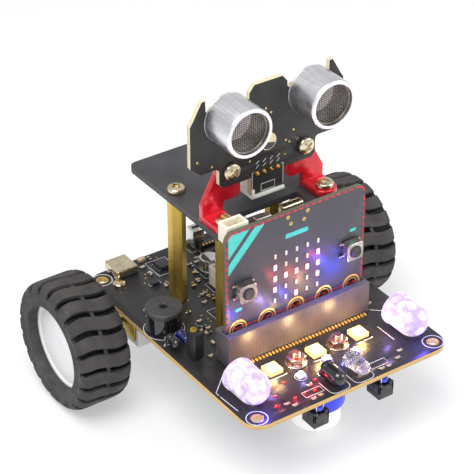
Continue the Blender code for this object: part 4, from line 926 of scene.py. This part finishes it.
def make_buttons():
    for letter in "ab":
        low, high, middle = box(f"button_{letter}_housing")
        half = (high[0] - low[0]) / 2
        foot = high[1] + 0.28
        body = [square_collar(2.1, half - 0.05, 0.9, (middle[0], foot, middle[2]), "-y"),
            drum(2.5, 0.7, 0.1, (middle[0], foot, middle[2]), "-y")]
        depth = foot - low[1] - 0.9
        metal = [square_collar(1.95, half, depth, (middle[0], foot - 0.9, middle[2]), "-y")]
        for x in (-1, 1):
            for z in (-1, 1):
                corner = (middle[0] + x * 2.35, low[1] + 0.37, middle[2] + z * 2.35)
                metal.append(drum(0.42, 0.4, 0.12, corner, "-y", 16))
                leg = (middle[0] + x * (half + 0.3), foot - 0.45, middle[2] + z * 2.25)
                metal.append(rounded_box(leg, (1.2, 0.8, 0.75), 0.15))
            strap = (middle[0] + x * (half - 0.1), (low[1] + foot) / 2, middle[2])
            metal.append(rounded_box(strap, (0.3, foot - low[1] - 0.2, 2.0), 0.1))
        stand_for(f"button_frame_{letter}", f"button_{letter}_housing", black=body, bronze_steel=metal)
        low, high, middle = box(f"button_{letter}_plunger")
        depth = high[1] - low[1]
        profile = soften([(0, depth - 0.15), (1.3, depth), (1.75, depth - 0.1), (1.75, 0), (0, 0)], 0.18, 3)
        cap = lathe(profile, (middle[0], high[1], middle[2]), "-y", 40)
        stand_for(f"button_cap_{letter}", f"button_{letter}_plunger", grey_black=[cap])
    soften_node("reset_frame", "reset_button_housing", "bronze_steel", 0.15)
    low, high, middle = box("reset_button_plunger")
    cap = drum(1.07, high[1] - low[1], 0.2, (middle[0], low[1], middle[2]), "y", 32)
    stand_for("reset_cap", "reset_button_plunger", white=[cap])


LIT = {(1, 1), (1, 5), (2, 1), (2, 2), (2, 3), (2, 4), (2, 5), (3, 1), (3, 5), (4, 3)}
EDGE_HOLES = (-21.5, -10.75, 0, 10.75, 21.5)
HOLE_RISE = 6.8                 # edge holes over the card's foot
DOT_STEP = 4.0                  # between two dot lamps
TOP_DOTS = 61.04                # height of their first row
ACCENTS = (                     # corners of the turquoise print, along X and Z
    [(-25.0, 73.2), (-24.0, 74.3), (-17.4, 74.3), (-25.0, 66.0)],
    [(-15.4, 74.3), (-11.9, 74.3), (-25.0, 60.2), (-25.0, 63.9)],
    [(-4.2, 65.9), (4.2, 65.9), (4.2, 67.5), (-4.2, 67.5)],
    [(-22.4, 46.3), (-20.0, 46.3), (-20.0, 47.4), (-22.4, 47.4)],
    [(20.2, 59.3), (22.6, 59.3), (22.6, 60.4), (20.2, 60.4)],
)


def make_card():
    low, high, _ = box("controller_card")
    face = low[1]
    back = high[1]
    both_faces = ((face, "-y"), (back, "y"))

    soften_node("card_board", "controller_card", "card_mask", 0.1)
    pads = [ring(inner, outer, 0.05, (x, y, low[2] + HOLE_RISE), out, 56, 0.02)
        for inner, outer in ((1.95, 2.2), (2.75, 3.35)) for x in EDGE_HOLES for y, out in both_faces]
    pads += [ring(0.3, 0.62, 0.05, (x, y, z), out, 20, 0.02) for x, z in ((-3.4, 73.2), (3.9, 73.2),
        (2.6, 70.6), (-2.3, 70.7)) for y, out in both_faces]
    strips = [rounded_box((x, y, low[2] + 3.0), (0.75, 0.06, 5.6), 0.02)
        for x in np.arange(-25, 25.1, PITCH) if abs((x + 5.375) % 10.75 - 5.375) > 3.6
        for y in (face - 0.02, back + 0.02)]
    add_piece("edge_pads", "card", "brass", ring_gold=pads, gold=strips)
    discs = [upright(ring(2.2, 2.75, 0.035, (x, low[2] + HOLE_RISE, 0), "z", 56, 0.01), face)
        for x in EDGE_HOLES]
    add_piece("pad_discs", "card", "plastic_black", black=discs)
    off = []
    lit = []
    cores = []
    for row in range(5):
        for column in range(5):
            x = DOT_STEP * (column - 2)
            z = TOP_DOTS - DOT_STEP * row
            if (row, column + 1) in LIT:
                lit.append(rounded_box((x, face - 0.2, z), (1.15, 0.4, 1.9), 0.19))
                cores.append(rounded_box((x, face - 0.32, z), (0.55, 0.3, 1.15), 0.14))
            else:
                off.append(rounded_box((x, face - 0.2, z), (0.75, 0.4, 1.55), 0.15))
    add_piece("dot_lamps_off", "card", "plastic_white", cream=off)
    add_piece("dot_lamps_lit", "card", "lamp_clear", matrix_on=lit, matrix_core=cores)
    accents = [upright(plate(soften(outline, 0.5, 3, True), 0.0, 0.03), face) for outline in ACCENTS]
    add_piece("card_accents", "card", "plastic_blue", turquoise=accents)
    dashes = []
    left, right, top, foot = low[0] + 0.32, high[0] - 0.32, high[2] - 0.32, low[2] + 7.3
    for x in np.arange(left + 2.6, right - 3.2, 2.35):
        dashes.append(ribbon([(x, top), (x + 1.5, top)], 0.5, 0, 0.035))
        dashes.append(ribbon([(x, foot), (x + 1.5, foot)], 0.42, 0, 0.06))
    for z in np.arange(foot + 0.6, top - 3.4, 2.35):
        for x in (left, right):
            dashes.append(ribbon([(x, z), (x, z + 1.5)], 0.5, 0, 0.035))
    for x, first in ((left + 2.7, 100), (right - 2.7, 10)):
        dashes.append(ribbon(circle(x, top - 2.7, 2.7, first, first + 70, 10), 0.5, 0, 0.035))
    add_piece("dashed_border", "card", "bracket_red", dash=[upright(joined(dashes), face)])
    chips = []
    feet = []
    for x, z, wide, tall in ((6.5, 60.0, 6.0, 6.0), (-6.5, 57.5, 5.2, 5.2), (14.5, 52.0, 3.2, 3.2),
                             (-15.0, 60.5, 3.6, 2.8), (3.0, 48.5, 2.8, 2.4)):
        chips.append(rounded_box((x, back + 0.55, z), (wide, 1.0, tall), 0.12))
        for side in (-1, 1):
            for step in np.linspace(-0.4, 0.4, 6):
                feet.append(rounded_box((x + step * wide, back + 0.15, z + side * (tall / 2 + 0.12)),
                    (0.25, 0.25, 0.5), 0.08))
    rng = np.random.default_rng(3)
    bits = [rounded_box((x, back + 0.28, z), (1.0, 0.5, 0.55), 0.1)
        for x, z in zip(rng.uniform(-23, 23, 42), rng.uniform(45, 68, 42))]
    add_piece("card_chips", "card", "plastic_black", black=chips, solder=feet, chip_tan=bits)
    soften_node("card_usb_shell", "card_usb_socket", "nickel", 0.2)
    soften_node("card_power_shroud", "card_battery_socket", "cream", 0.25)
    low, high, middle = box("card_usb_socket")
    tongue = rounded_box((middle[0], middle[1] + 0.1, middle[2] + 0.2), (5.0, 0.5, 4.2), 0.1)
    low, high, middle = box("card_battery_socket")
    blades = [rounded_box((middle[0] + x, middle[1], middle[2] - 0.2), (0.55, 0.55, 4.8), 0.12)
        for x in (-1, 1)]
    add_piece("card_contacts", "card", "plastic_black", black=[tongue], gold=blades)


def make_connector():
    soften_node("edge_connector", "card_connector", "smoke", 0.3, 3)
    low, high, middle = box("card_connector")
    rows = []
    for x in np.arange(-SPREAD, SPREAD + 0.03, PITCH):
        rows.append(rounded_box((x, low[1] - 0.55, DECK + 0.35), (0.55, 1.7, 0.6), 0.15))
        rows.append(rounded_box((x, high[1] + 0.55, DECK + 0.35), (0.55, 1.7, 0.6), 0.15))
    strip = [span((low[0] + 0.6, low[1] - 0.35, DECK), (high[0] - 0.6, low[1] + 0.1, DECK + 0.75), 0.1)]
    add_piece("connector_feet", "chassis", "brass", ring_gold=rows, black=strip)
    lamps = []
    domes = []
    for x in WARM_LAMPS:
        lamps.append(rounded_box((x, -28.85, DECK + 0.8), (5.0, 5.0, 1.6), 0.25))
        domes.append(lathe(soften([(0, 0.45), (1.2, 0.35), (1.95, 0.05), (1.95, 0), (0, 0)], 0.15),
            (x, -28.85, DECK + 1.6), "z", 36))
    add_piece("lamp_chips", "chassis", "lamp_clear", lamp_body=lamps, warm_light=domes)


# Parts on the main board

def on_deck(x, y, wide, deep, tall, radius=0.12):
    """A small rounded block standing on the main board."""
    return rounded_box((x, y, DECK + tall / 2), (wide, deep, tall), radius)


def printed(path, width=0.22):
    """A thin printed line on the main board."""
    return ribbon(path, width, DECK, DECK + 0.03)


def closed(path):
    """A path that ends where it starts."""
    path = np.asarray(path, float)
    return np.vstack([path, path[:1]])


def oblong(x, y, wide, deep):
    """The four corners of an oblong round a middle."""
    return closed([(x - wide / 2, y - deep / 2), (x + wide / 2, y - deep / 2),
        (x + wide / 2, y + deep / 2), (x - wide / 2, y + deep / 2)])


BLUE_LAMPS = ((-10.8, -35.9), (0.5, -33.9), (10.3, -35.5))
RED_LAMPS = ((-16.8, -35.5), (-8.4, -39.7), (-11.5, -43.9), (-15.1, -43.4), (-18.5, -43.5), (-22.9, -39.6),
    (-25.8, -43.7))
CREAM_BITS = ((-11.4, -41.0), (-14.1, -47.0), (-11.4, -46.8), (11.7, -46.9), (14.2, -46.9), (-22.3, -44.6),
    (-20.6, -46.4), (18.9, -45.4), (21.8, -42.8))
BUSY = ((-3.3, 17, 4.6, 5.2), (-1.5, 27.4, 4.2, 4.2), (3.0, 42, 4.2, 3.4), (6.0, 38.5, 4.6, 3.6),
    (-18.6, -6.9, 3.9, 4.2), (18.6, -6.9, 3.9, 4.2), (-18.6, 19.7, 3.9, 4.2), (18.6, 19.7, 3.9, 4.2),
    (-13, 38, 4.4, 5.2), (13.5, 33.5, 5.4, 5.4), (12.5, 8.5, 6.2, 6.2), (-11.5, 5, 4.2, 4.2),
    (-30.2, 27.6, 6, 14), (30.2, 27.6, 6, 14))


def make_main_board():
    soften_node("main_circuit_board", "main_board", "mask", 0.12)
    rings = [ring(1.62, 2.05, 0.05, (x, y, z), out, 48, 0.02) for x, y in CORNER_HOLES
        for z, out in ((DECK, "z"), (box("main_board")[0][2], "-z"))]
    rng = np.random.default_rng(11)
    for x, y in rng.uniform((-24, -30), (24, 45), (90, 2)):
        rings.append(ring(0.14, 0.34, 0.04, (x, y, DECK), "z", 14, 0.015))
    for y in (5.8, 8.35):
        rings += [ring(0.45, 0.85, 0.05, (x, y - 9.9, DECK), "z", 20, 0.02)
            for x in np.arange(-10.16, 10.2, 2.54)]
    add_piece("board_pads", "chassis", "brass", gold=rings)
    lines = [printed(circle(x, y, 3.25), 0.25) for x, y in CORNER_HOLES]
    lines.append(printed(circle(-31.2, 8.55, 6.45)))
    for _, sign in SIDES:
        lamp = [(sign * 27.8, -20.2), (sign * 36.4, -28.1), (sign * 36.4, -29.6)]
        lines.append(printed(lamp, 0.25))
        lines.append(printed([(sign * 36.4, -30.4), (sign * 35.9, -38.9)], 0.25))
        lines.append(printed([(sign * 24.2, -28.9), (sign * 24.2, -37.2)], 0.25))
        lines.append(printed(soften([(sign * 0.9, -41.5), (sign * 0.9, -48.7), (sign * 8.2, -48.7),
            (sign * 8.2, -41.5)], 2.4, 8)))
        lines.append(printed(oblong(sign * 12.3, -44.0, 6.6, 2.6)))
    for x in WARM_LAMPS:
        lines.append(printed([(x - 3.1, -31.8), (x - 3.1, -32.4), (x + 3.1, -32.4), (x + 3.1, -31.8)]))
    for x, y, wide, deep in BUSY[:4] + BUSY[8:12]:
        lines.append(printed(oblong(x, y, wide * 1.7, deep * 1.7), 0.18))
    for x, y in BLUE_LAMPS:
        lines.append(printed(circle(x, y, 1.9, 30, 330, 24), 0.18))
    add_piece("board_print", "chassis", "plastic_white", print=lines)


def chip(x, y, wide, deep, tall, pins, both):
    """A chip's body and its gull-wing pins, along two sides or all four."""
    body = on_deck(x, y, wide, deep, tall, 0.12)
    feet = []
    for step in np.linspace(-0.4, 0.4, pins):
        for side in (-1, 1):
            feet.append(rounded_box((x + side * (wide / 2 + 0.3), y + step * deep, DECK + 0.22),
                (1.0, 0.38, 0.35), 0.1))
            if both:
                feet.append(rounded_box((x + step * wide, y + side * (deep / 2 + 0.3), DECK + 0.22),
                    (0.38, 1.0, 0.35), 0.1))
    return body, feet


def make_deck_parts():
    bodies = []
    feet = []
    for row in ((13.5, 33.5, 7, 7, 1.1, 10, True), (-13.0, 38.0, 3.9, 5.0, 1.5, 4, False),
                (12.5, 8.5, 5, 6, 1.4, 6, False), (-11.5, 5.0, 3.2, 3.2, 1.0, 4, False),
                (24.5, -14.5, 3.2, 3.2, 1.0, 5, True), (-20.5, 30.5, 2.9, 1.6, 1.1, 3, False)):
        body, legs = chip(*row)
        bodies.append(body)
        feet += legs
    add_piece("deck_chips", "chassis", "plastic_black", black=bodies, solder=feet)
    rng = np.random.default_rng(5)
    tans = []
    darks = []
    ends = []
    for x, y in rng.uniform((-23, -10), (23, 44.5), (120, 2)):
        if any(abs(x - bx) < bw and abs(y - by) < bd for bx, by, bw, bd in BUSY):
            continue
        long_way = rng.random() < 0.5
        wide, deep = (1.7, 0.9) if long_way else (0.9, 1.7)
        (tans if rng.random() < 0.5 else darks).append(on_deck(x, y, wide, deep, 0.55, 0.08))
        for side in (-1, 1):
            shift = (side * 0.72, 0) if long_way else (0, side * 0.72)
            size = (0.42, 0.98, 0.62) if long_way else (0.98, 0.42, 0.62)
            ends.append(on_deck(x + shift[0], y + shift[1], *size, 0.08))
    for x, y in CREAM_BITS + ((-24.5, -34.6), (24.0, -17.5), (29.5, -17.5), (-27.5, -12.0)):
        tans.append(on_deck(x, y, 1.5, 0.85, 0.5, 0.08))
        ends.append(on_deck(x - 0.75, y, 0.4, 0.95, 0.55, 0.08))
        ends.append(on_deck(x + 0.75, y, 0.4, 0.95, 0.55, 0.08))
    tans.append(on_deck(-16.9, 44.6, 2.6, 1.6, 1.2, 0.15))
    add_piece("small_components", "chassis", "plastic_black", chip_tan=tans, black=darks, solder=ends)
    gold = [on_deck(x, y, 1.6, 0.9, 0.7, 0.15) for x, y in ((-6.4, 28.5), (-7.9, 24.4), (-10.8, 22.3),
        (-10.2, 14.9), (-9.6, 12.5))]
    header = [on_deck(5.9, 38.4, 7.4, 2.6, 2.6, 0.15), on_deck(5.9, 35.2, 7.4, 2.4, 1.8, 0.15)]
    for x in np.arange(2.9, 9.0, 1.2):
        gold.append(rounded_box((x, 37.2, DECK + 2.9), (0.55, 1.0, 0.5), 0.12))
        gold.append(rounded_box((x, 33.8, DECK + 0.3), (0.5, 1.2, 0.45), 0.12))
    add_piece("deck_header", "chassis", "plastic_black", black=header, gold=gold)
    cans = []
    marks = []
    for x, y, radius, tall in ((-1.5, 27.45, 3.15, 5.4), (20.5, 42.0, 2.5, 5.2)):
        cans.append(lathe(soften([(0, tall - 0.15), (radius - 0.55, tall - 0.1), (radius - 0.45, tall),
            (radius, tall - 0.2), (radius, 1.7), (radius - 0.25, 1.3), (radius, 0.9), (radius - 0.2, 0.5),
            (0, 0.5)], 0.12), (x, y, DECK), "z", 56))
        arc = circle(x, y, radius - 0.6, 100, 260, 24)
        marks.append(plate(arc[:-1], DECK + tall - 0.12, DECK + tall - 0.05))
        marks.append(on_deck(x, y, 2 * radius + 0.2, 2 * radius + 0.2, 0.8, 0.2))
    add_piece("can_capacitors", "chassis", "steel", steel=cans, black=marks)
    blue = []
    bodies = []
    for x, y in BLUE_LAMPS:
        bodies.append(on_deck(x, y, 2.6, 2.4, 1.1, 0.2))
        blue.append(lathe(soften([(0, 0.9), (0.7, 0.7), (0.95, 0), (0, 0)], 0.15), (x, y, DECK + 1.05),
            "z", 28))
    red = [on_deck(x, y, 1.0, 0.6, 0.4, 0.12) for x, y in RED_LAMPS]
    add_piece("board_lamps", "chassis", "lamp_clear", cool_body=bodies, blue_light=blue, red_light=red)


def make_deck_sockets():
    soften_node("motor_battery_shroud", "battery_socket", "cream", 0.25)
    low, high, middle = box("battery_socket")
    blades = [rounded_box((middle[0] + x, middle[1], low[2] + 2.6), (0.65, 0.65, 5.2), 0.15)
        for x in (-1.25, 1.25)]
    soften_node("switch_shell", "power_switch_body", "steel", 0.2)
    soften_node("switch_knob", "power_switch_knob", "black", 0.12)
    low, high, middle = box("power_switch_body")
    for y in (low[1] - 0.4, high[1] + 0.1):
        for x in (low[0] + 0.7, middle[0], high[0] - 0.7):
            blades.append(rounded_box((x, y, DECK + 0.3), (0.5, 1.0, 0.4), 0.1))
    add_piece("socket_blades", "chassis", "brass", gold=blades)
    soften_node("charge_shell", "charge_socket", "nickel", 0.25)
    low, high, middle = box("charge_socket")
    tongue = rounded_box((middle[0], high[1] - 2.6, middle[2]), (5.4, 3.6, 0.6), 0.12)
    legs = [rounded_box((middle[0] + x * (middle[0] - low[0] + 0.15), y, DECK + 0.35), (0.5, 1.5, 0.7),
        0.12) for x in (-1, 1) for y in (low[1] + 1.4, high[1] - 2.6)]
    add_piece("charge_tongue", "chassis", "plastic_black", black=[tongue], solder=legs)
    soften_node("trimmer_block", "trimmer_body", "black", 0.2)
    soften_node("trimmer_slot", "trimmer_screw", "brass", 0.08, 1)
    low, high, middle = box("trimmer_body")
    legs = [rounded_box((middle[0], middle[1] + y, DECK + 0.15), (0.45, 0.45, 0.5), 0.1)
        for y in (-1.6, 0, 1.6)]
    add_piece("trimmer_legs", "chassis", "steel", solder=legs)
    low, high, middle = box("buzzer")
    tall = high[2] - low[2] + 0.25
    place = (middle[0], middle[1], low[2] - 0.25)
    top = soften([(0, tall - 2.2), (1.2, tall - 2.2), (1.2, tall - 0.2), (1.5, tall), (5.6, tall),
        (6.0, tall - 0.4), (6.0, tall - 1.6), (5.5, tall - 1.7), (0, tall - 2.6)], 0.18, 3)
    body = soften([(0, tall - 2.4), (5.7, tall - 1.5), (5.85, tall - 1.9), (5.85, 1.0), (5.6, 0.9),
        (5.6, 0), (0, 0)], 0.12, 3)
    stand_for("round_buzzer", "buzzer", grey_black=[lathe(top, place, "z", 80)],
        lens_black=[lathe(body, place, "z", 80)])


# Lamps and line sensors

def bulb(radius, flange, length, base):
    """A domed lamp, tip forwards: r = R cos a, z = L - R + R sin a, then a straight side and a flange."""
    rise = np.linspace(np.pi / 2, 0, 12)
    dome = [(radius * math.cos(angle), length - radius + radius * math.sin(angle)) for angle in rise]
    foot = soften([(radius, length - radius), (radius, 1.3), (radius + flange, 1.2), (radius + flange, 0),
        (0, 0)], 0.15)
    return lathe(np.vstack([dome, foot[1:]]), base, "-y", 64)


def make_lamps():
    wires = []
    collars = []
    for node, name, finish in (("headlight_left", "head_lamp_left", "headlamp"),
                               ("headlight_right", "head_lamp_right", "headlamp"),
                               ("infrared_receiver", "dark_eye", "lens_black"),
                               ("infrared_lamp", "clear_eye", "lens_clear"),
                               ("obstacle_receiver", "side_dark_eye", "lens_black"),
                               ("obstacle_lamp", "side_blue_eye", "lens_navy")):
        low, high, middle = box(node)
        outer = (high[0] - low[0]) / 2
        flange = {"headlight": 0.25, "infrared": 0.4, "obstacle": 0.2}[node.split("_")[0]]
        base = (middle[0], high[1], middle[2])
        parts = {finish: [bulb(outer - flange, flange, high[1] - low[1], base)]}
        if node == "infrared_lamp":
            cup = lathe(soften([(0, 1.4), (0.5, 1.4), (1.25, 2.4), (1.35, 2.4), (0.9, 1.0), (0.4, 0.9),
                (0.4, 0.4), (0, 0.4)], 0.08), (base[0], base[1] - 1.0, base[2]), "-y", 32)
            parts["shaft"] = [cup]
        stand_for(name, node, **parts)
        reach = outer * 0.25 + 0.25
        for x in (-reach, reach):
            bend = [(base[0] + x, base[1] - 0.6, base[2]), (base[0] + x, base[1] + 1.0, base[2]),
                (base[0] + x, base[1] + 1.6, base[2] - 0.6), (base[0] + x, base[1] + 1.7, DECK - 0.2)]
            wires.append(tube(bend, 0.27, 8))
            collars.append(ring(0.3, 0.8, 0.05, (base[0] + x, base[1] + 1.7, DECK), "z", 20, 0.02))
    add_piece("lamp_wires", "chassis", "steel", solder=wires + collars)
    for side, _ in SIDES:
        low, high, middle = box(f"line_sensor_{side}")
        rim = low[2] + 5.4
        walls = [span((low[0], low[1], low[2]), (high[0], high[1], low[2] + 2.2), 0.2)]
        for y, deep in ((low[1], 0.9), (middle[1] - 0.35, 0.7), (high[1] - 0.9, 0.9)):
            walls.append(span((low[0], y, low[2] + 2.0), (high[0], y + deep, rim - 1.0), 0.2))
            walls.append(span((low[0], y, rim - 1.8), (low[0] + 1.5, y + deep, rim), 0.2))
            walls.append(span((high[0] - 1.5, y, rim - 1.8), (high[0], y + deep, rim), 0.2))
        for x in (low[0], high[0] - 0.8):
            walls.append(span((x, low[1], low[2] + 2.0), (x + 0.8, high[1], rim - 0.2), 0.2))
        pins = [rounded_box((x, y, (rim + high[2]) / 2), (0.5, 0.5, high[2] - rim + 1.6), 0.12)
            for x in (middle[0] - PITCH, middle[0] + PITCH) for y in (middle[1] - 1.9, middle[1] + 1.9)]
        stand_for(f"line_eye_{side}", f"line_sensor_{side}", grey_black=walls, solder=pins)
        blue = [drum(1.05, 0.35, 0.15, (middle[0] - 1.35, middle[1], low[2] + 0.05), "-z", 28),
            drum(1.35, 1.7, 0.4, (middle[0], low[1] + 1.75, low[2] + 5.35), "z", 32)]
        dark = [drum(1.05, 0.35, 0.15, (middle[0] + 1.35, middle[1], low[2] + 0.05), "-z", 28),
            drum(1.35, 1.7, 0.4, (middle[0], high[1] - 1.75, low[2] + 5.35), "z", 32)]
        add_piece(f"line_lens_{side}", "chassis", "plastic_blue", lens_blue=blue, lens_black=dark)


# Caster, battery and the underside

def make_caster():
    # the housing's blue finish glows faintly: painted light
    soften_node("caster_housing", "caster_body", "blue", 0.5, 3)
    low, high, middle = box("caster_cup")
    ball_low, ball_high, ball_middle = box("caster_ball")
    radius = (ball_high[2] - ball_low[2]) / 2
    fit = radius + 0.3
    mouth = math.asin((ball_middle[2] - low[2]) / fit)
    hollow = [(fit * math.cos(angle), ball_middle[2] + fit * math.sin(angle))
        for angle in np.linspace(np.pi / 2, -mouth, 24)]
    outside = soften([(0, high[2]), (8.0, high[2]), (8.0, low[2] + 0.8), (7.2, low[2]),
        (fit * math.cos(mouth), low[2])], 0.4, 3)
    cup = lathe(np.vstack([hollow, outside[::-1]]), (middle[0], middle[1], 0), "z", 80)
    # the cup's finish glows faintly: painted light
    stand_for("ball_cup", "caster_cup", cup=[cup])
    angle = np.linspace(np.pi / 2, -np.pi / 2, 33)
    profile = np.stack([np.maximum(radius * np.cos(angle), 0), radius * np.sin(angle)], axis=1)
    stand_for("rolling_ball", "caster_ball", ball=[lathe(profile, ball_middle, "x", 64)])
    for side, _ in SIDES:
        low, high, middle = box(f"caster_bolt_{side}")
        seat = low[2] + HEAD_TALL
        head = screw_head(HEAD_RADIUS, HEAD_TALL, (middle[0], middle[1], seat), "-z", 15)
        shank = thread(M3, high[2] - seat + 0.1, 0.5, (middle[0], middle[1], seat - 0.1))
        washer = ring(1.55, 3.5, 0.45, (middle[0], middle[1], DECK + 0.02), "z", 40, 0.1)
        nut = hex_bar(5.5, 2.3, 1.5, (middle[0], middle[1], DECK + 0.5))
        stand_for(f"caster_screw_{side}", f"caster_bolt_{side}", steel=[head, washer], copper=[shank, nut])


def make_battery():
    low, high, middle = box("battery_cell")
    radius = (high[0] - low[0]) / 2
    length = high[1] - low[1]
    sleeve = lathe(soften([(radius - 1.6, length - 0.35), (radius - 0.25, length - 0.25),
        (radius, length - 0.9), (radius, 0.9), (radius - 0.25, 0.2), (radius - 1.4, 0.25)], 0.3, 3),
        (middle[0], low[1], middle[2]), "y", 72)
    ends = [lathe(soften([(0, length), (2.6, length), (2.8, length - 0.9), (radius - 1.5, length - 1.0),
        (radius - 1.5, 0.1), (0, 0.1)], 0.15), (middle[0], low[1], middle[2]), "y", 60)]
    stand_for("sleeved_cell", "battery_cell", sleeve=[sleeve], steel=ends)
    soften_node("cell_tray", "battery_holder", "grey_black", 0.3)
    under = box("main_board")[0][2]
    joints = []
    spots = [(x, y) for x in np.arange(-SPREAD, SPREAD + 0.03, PITCH) for y in (-22.3, -12.2)]
    spots += [(-4.55, 17), (-2.05, 17), (-31.2, 5.0), (-31.2, 12.1), (1.5, 42), (3.0, 42), (4.5, 42),
        (-31.2, -10.65), (-31.2, -9.05), (-31.2, -7.45), (-32.6, -28.2), (-27.4, -28.2), (27.4, -28.2),
        (32.6, -28.2), (-5.5, -38.3), (-3.5, -38.3), (3.5, -38.3), (5.5, -38.3)]
    for x, y in spots:
        cone = soften([(0, 1.2), (0.28, 1.15), (0.4, 0.5), (0.85, 0.03), (0.85, 0), (0, 0)], 0.1)
        if not (abs(x) < 10 and -19 < y < 19.5):
            joints.append(lathe(cone, (x, y, under), "-z", 14))
    add_piece("solder_joints", "chassis", "steel", solder=joints)
    leads = {}
    for shift, finish in ((-1, "lead_red"), (1, "lead_black")):
        wires = []
        for side, sign in SIDES:
            _, y, z = box(f"motor_{side}")[2]
            path = [(9.9, 3.4, z), (8.6, 3.4, z + 0.3), (7.4, 3.2, z + 2.4), (7.2, 3.0, under - 0.1)]
            wires.append(tube([(sign * out, y + shift * aside, up) for out, aside, up in path], 0.5, 10))
        leads[finish] = wires
    add_piece("motor_leads", "chassis", "plastic_black", **leads)


# Light, floor and camera

def softbox(name, place, target, size, power):
    """A soft square light at a place in millimetres, aimed at a target."""
    data = bpy.data.lights.new(name, "AREA")
    data.size = size * MM
    data.energy = power
    lamp = bpy.data.objects.new(name, data)
    lamp.location = Vector(place) * MM
    lamp.rotation_euler = (Vector(target) - Vector(place)).to_track_quat("-Z", "Y").to_euler()
    bpy.context.scene.collection.objects.link(lamp)


def spark(name, place, power, colour, size):
    """A small round light at a place in millimetres."""
    data = bpy.data.lights.new(name, "POINT")
    data.energy = power
    data.color = colour
    data.shadow_soft_size = size * MM
    lamp = bpy.data.objects.new(name, data)
    lamp.location = Vector(place) * MM
    bpy.context.scene.collection.objects.link(lamp)


def make_studio():
    world = bpy.data.worlds.new("pale surroundings")
    world.use_nodes = True
    world.node_tree.nodes["Background"].inputs["Color"].default_value = (1, 1, 1, 1)
    world.node_tree.nodes["Background"].inputs["Strength"].default_value = 0.62
    bpy.context.scene.world = world
    view = bpy.context.scene.view_settings
    view.view_transform = "Standard"
    view.look = "None"
    softbox("high_softbox", (-260, -120, 620), (0, 0, 30), 420, 3.6)
    softbox("side_softbox", (420, -360, 330), (0, 0, 40), 300, 1.3)
    for x in WARM_LAMPS:
        spark(f"warm_lamp_{x:.0f}", (x, -30.2, DECK + 4.0), 0.0075, (1.0, 0.6, 0.22), 1.5)
    for side, sign in SIDES:
        spark(f"violet_lamp_{side}", (sign * 30.5, -45.9, DECK + 3.2), 0.0042, (0.14, 0.08, 1.0), 1.5)
        spark(f"lilac_lamp_{side}", (sign * 22.3, -37.0, DECK + 3.0), 0.001, (0.4, 0.25, 1.0), 1.0)
    for x, y, z, power in ((14.5, -22.6, 48.5, 0.0075), (-23.4, -20.2, 45.4, 0.0016),
                           (-3.5, -19.6, 45.2, 0.0009), (-11.5, -20.4, 44.6, 0.0012)):
        spark(f"blue_gleam_{x:.0f}", (x, y, z), power, (0.03, 0.07, 1.0), 1.0)
    for x, z in ((-8, 53), (0, 51), (8, 55)):
        spark(f"card_red_gleam_{x}", (x, -20.3, z), 0.0006, (1.0, 0.03, 0.06), 0.8)
    for x, y in BLUE_LAMPS:
        spark(f"cool_lamp_{x:.0f}", (x, y - 0.9, DECK + 2.6), 0.0008, (0.35, 0.35, 1.0), 0.6)
    for x, y in ((-9.4, -41.4), (-13.5, -44.2), (-18.2, -43.0), (-24.0, -42.6)):
        spark(f"red_gleam_{x:.0f}", (x, y, DECK + 1.8), 0.0005, (1.0, 0.04, 0.04), 0.6)
    floor = bpy.data.meshes.new("studio_floor")
    floor.from_pydata([(-3, -3, 0), (3, -3, 0), (3, 3, 0), (-3, 3, 0)], [], [(0, 1, 2, 3)])
    floor.materials.append(FINISH["floor"])
    ground = bpy.data.objects.new("studio_floor", floor)
    bpy.context.scene.collection.objects.link(ground)


def make_camera():
    place = Vector((-285.49, -398.85, 374.71)) * MM
    aim = Vector((0.01, 13.54, 48.17)) * MM
    data = bpy.data.cameras.new("camera")
    data.lens = 143.5
    data.sensor_width = 36
    data.clip_start = 0.01
    camera = bpy.data.objects.new("camera", data)
    camera.location = place
    camera.rotation_euler = (aim - place).to_track_quat("-Z", "Y").to_euler()
    bpy.context.scene.collection.objects.link(camera)
    bpy.context.scene.camera = camera


make_wheels()
make_motors()
make_uprights()
make_sensor()
make_buttons()
make_card()
make_connector()
make_main_board()
make_deck_parts()
make_deck_sockets()
make_lamps()
make_caster()
make_battery()
make_studio()
make_camera()
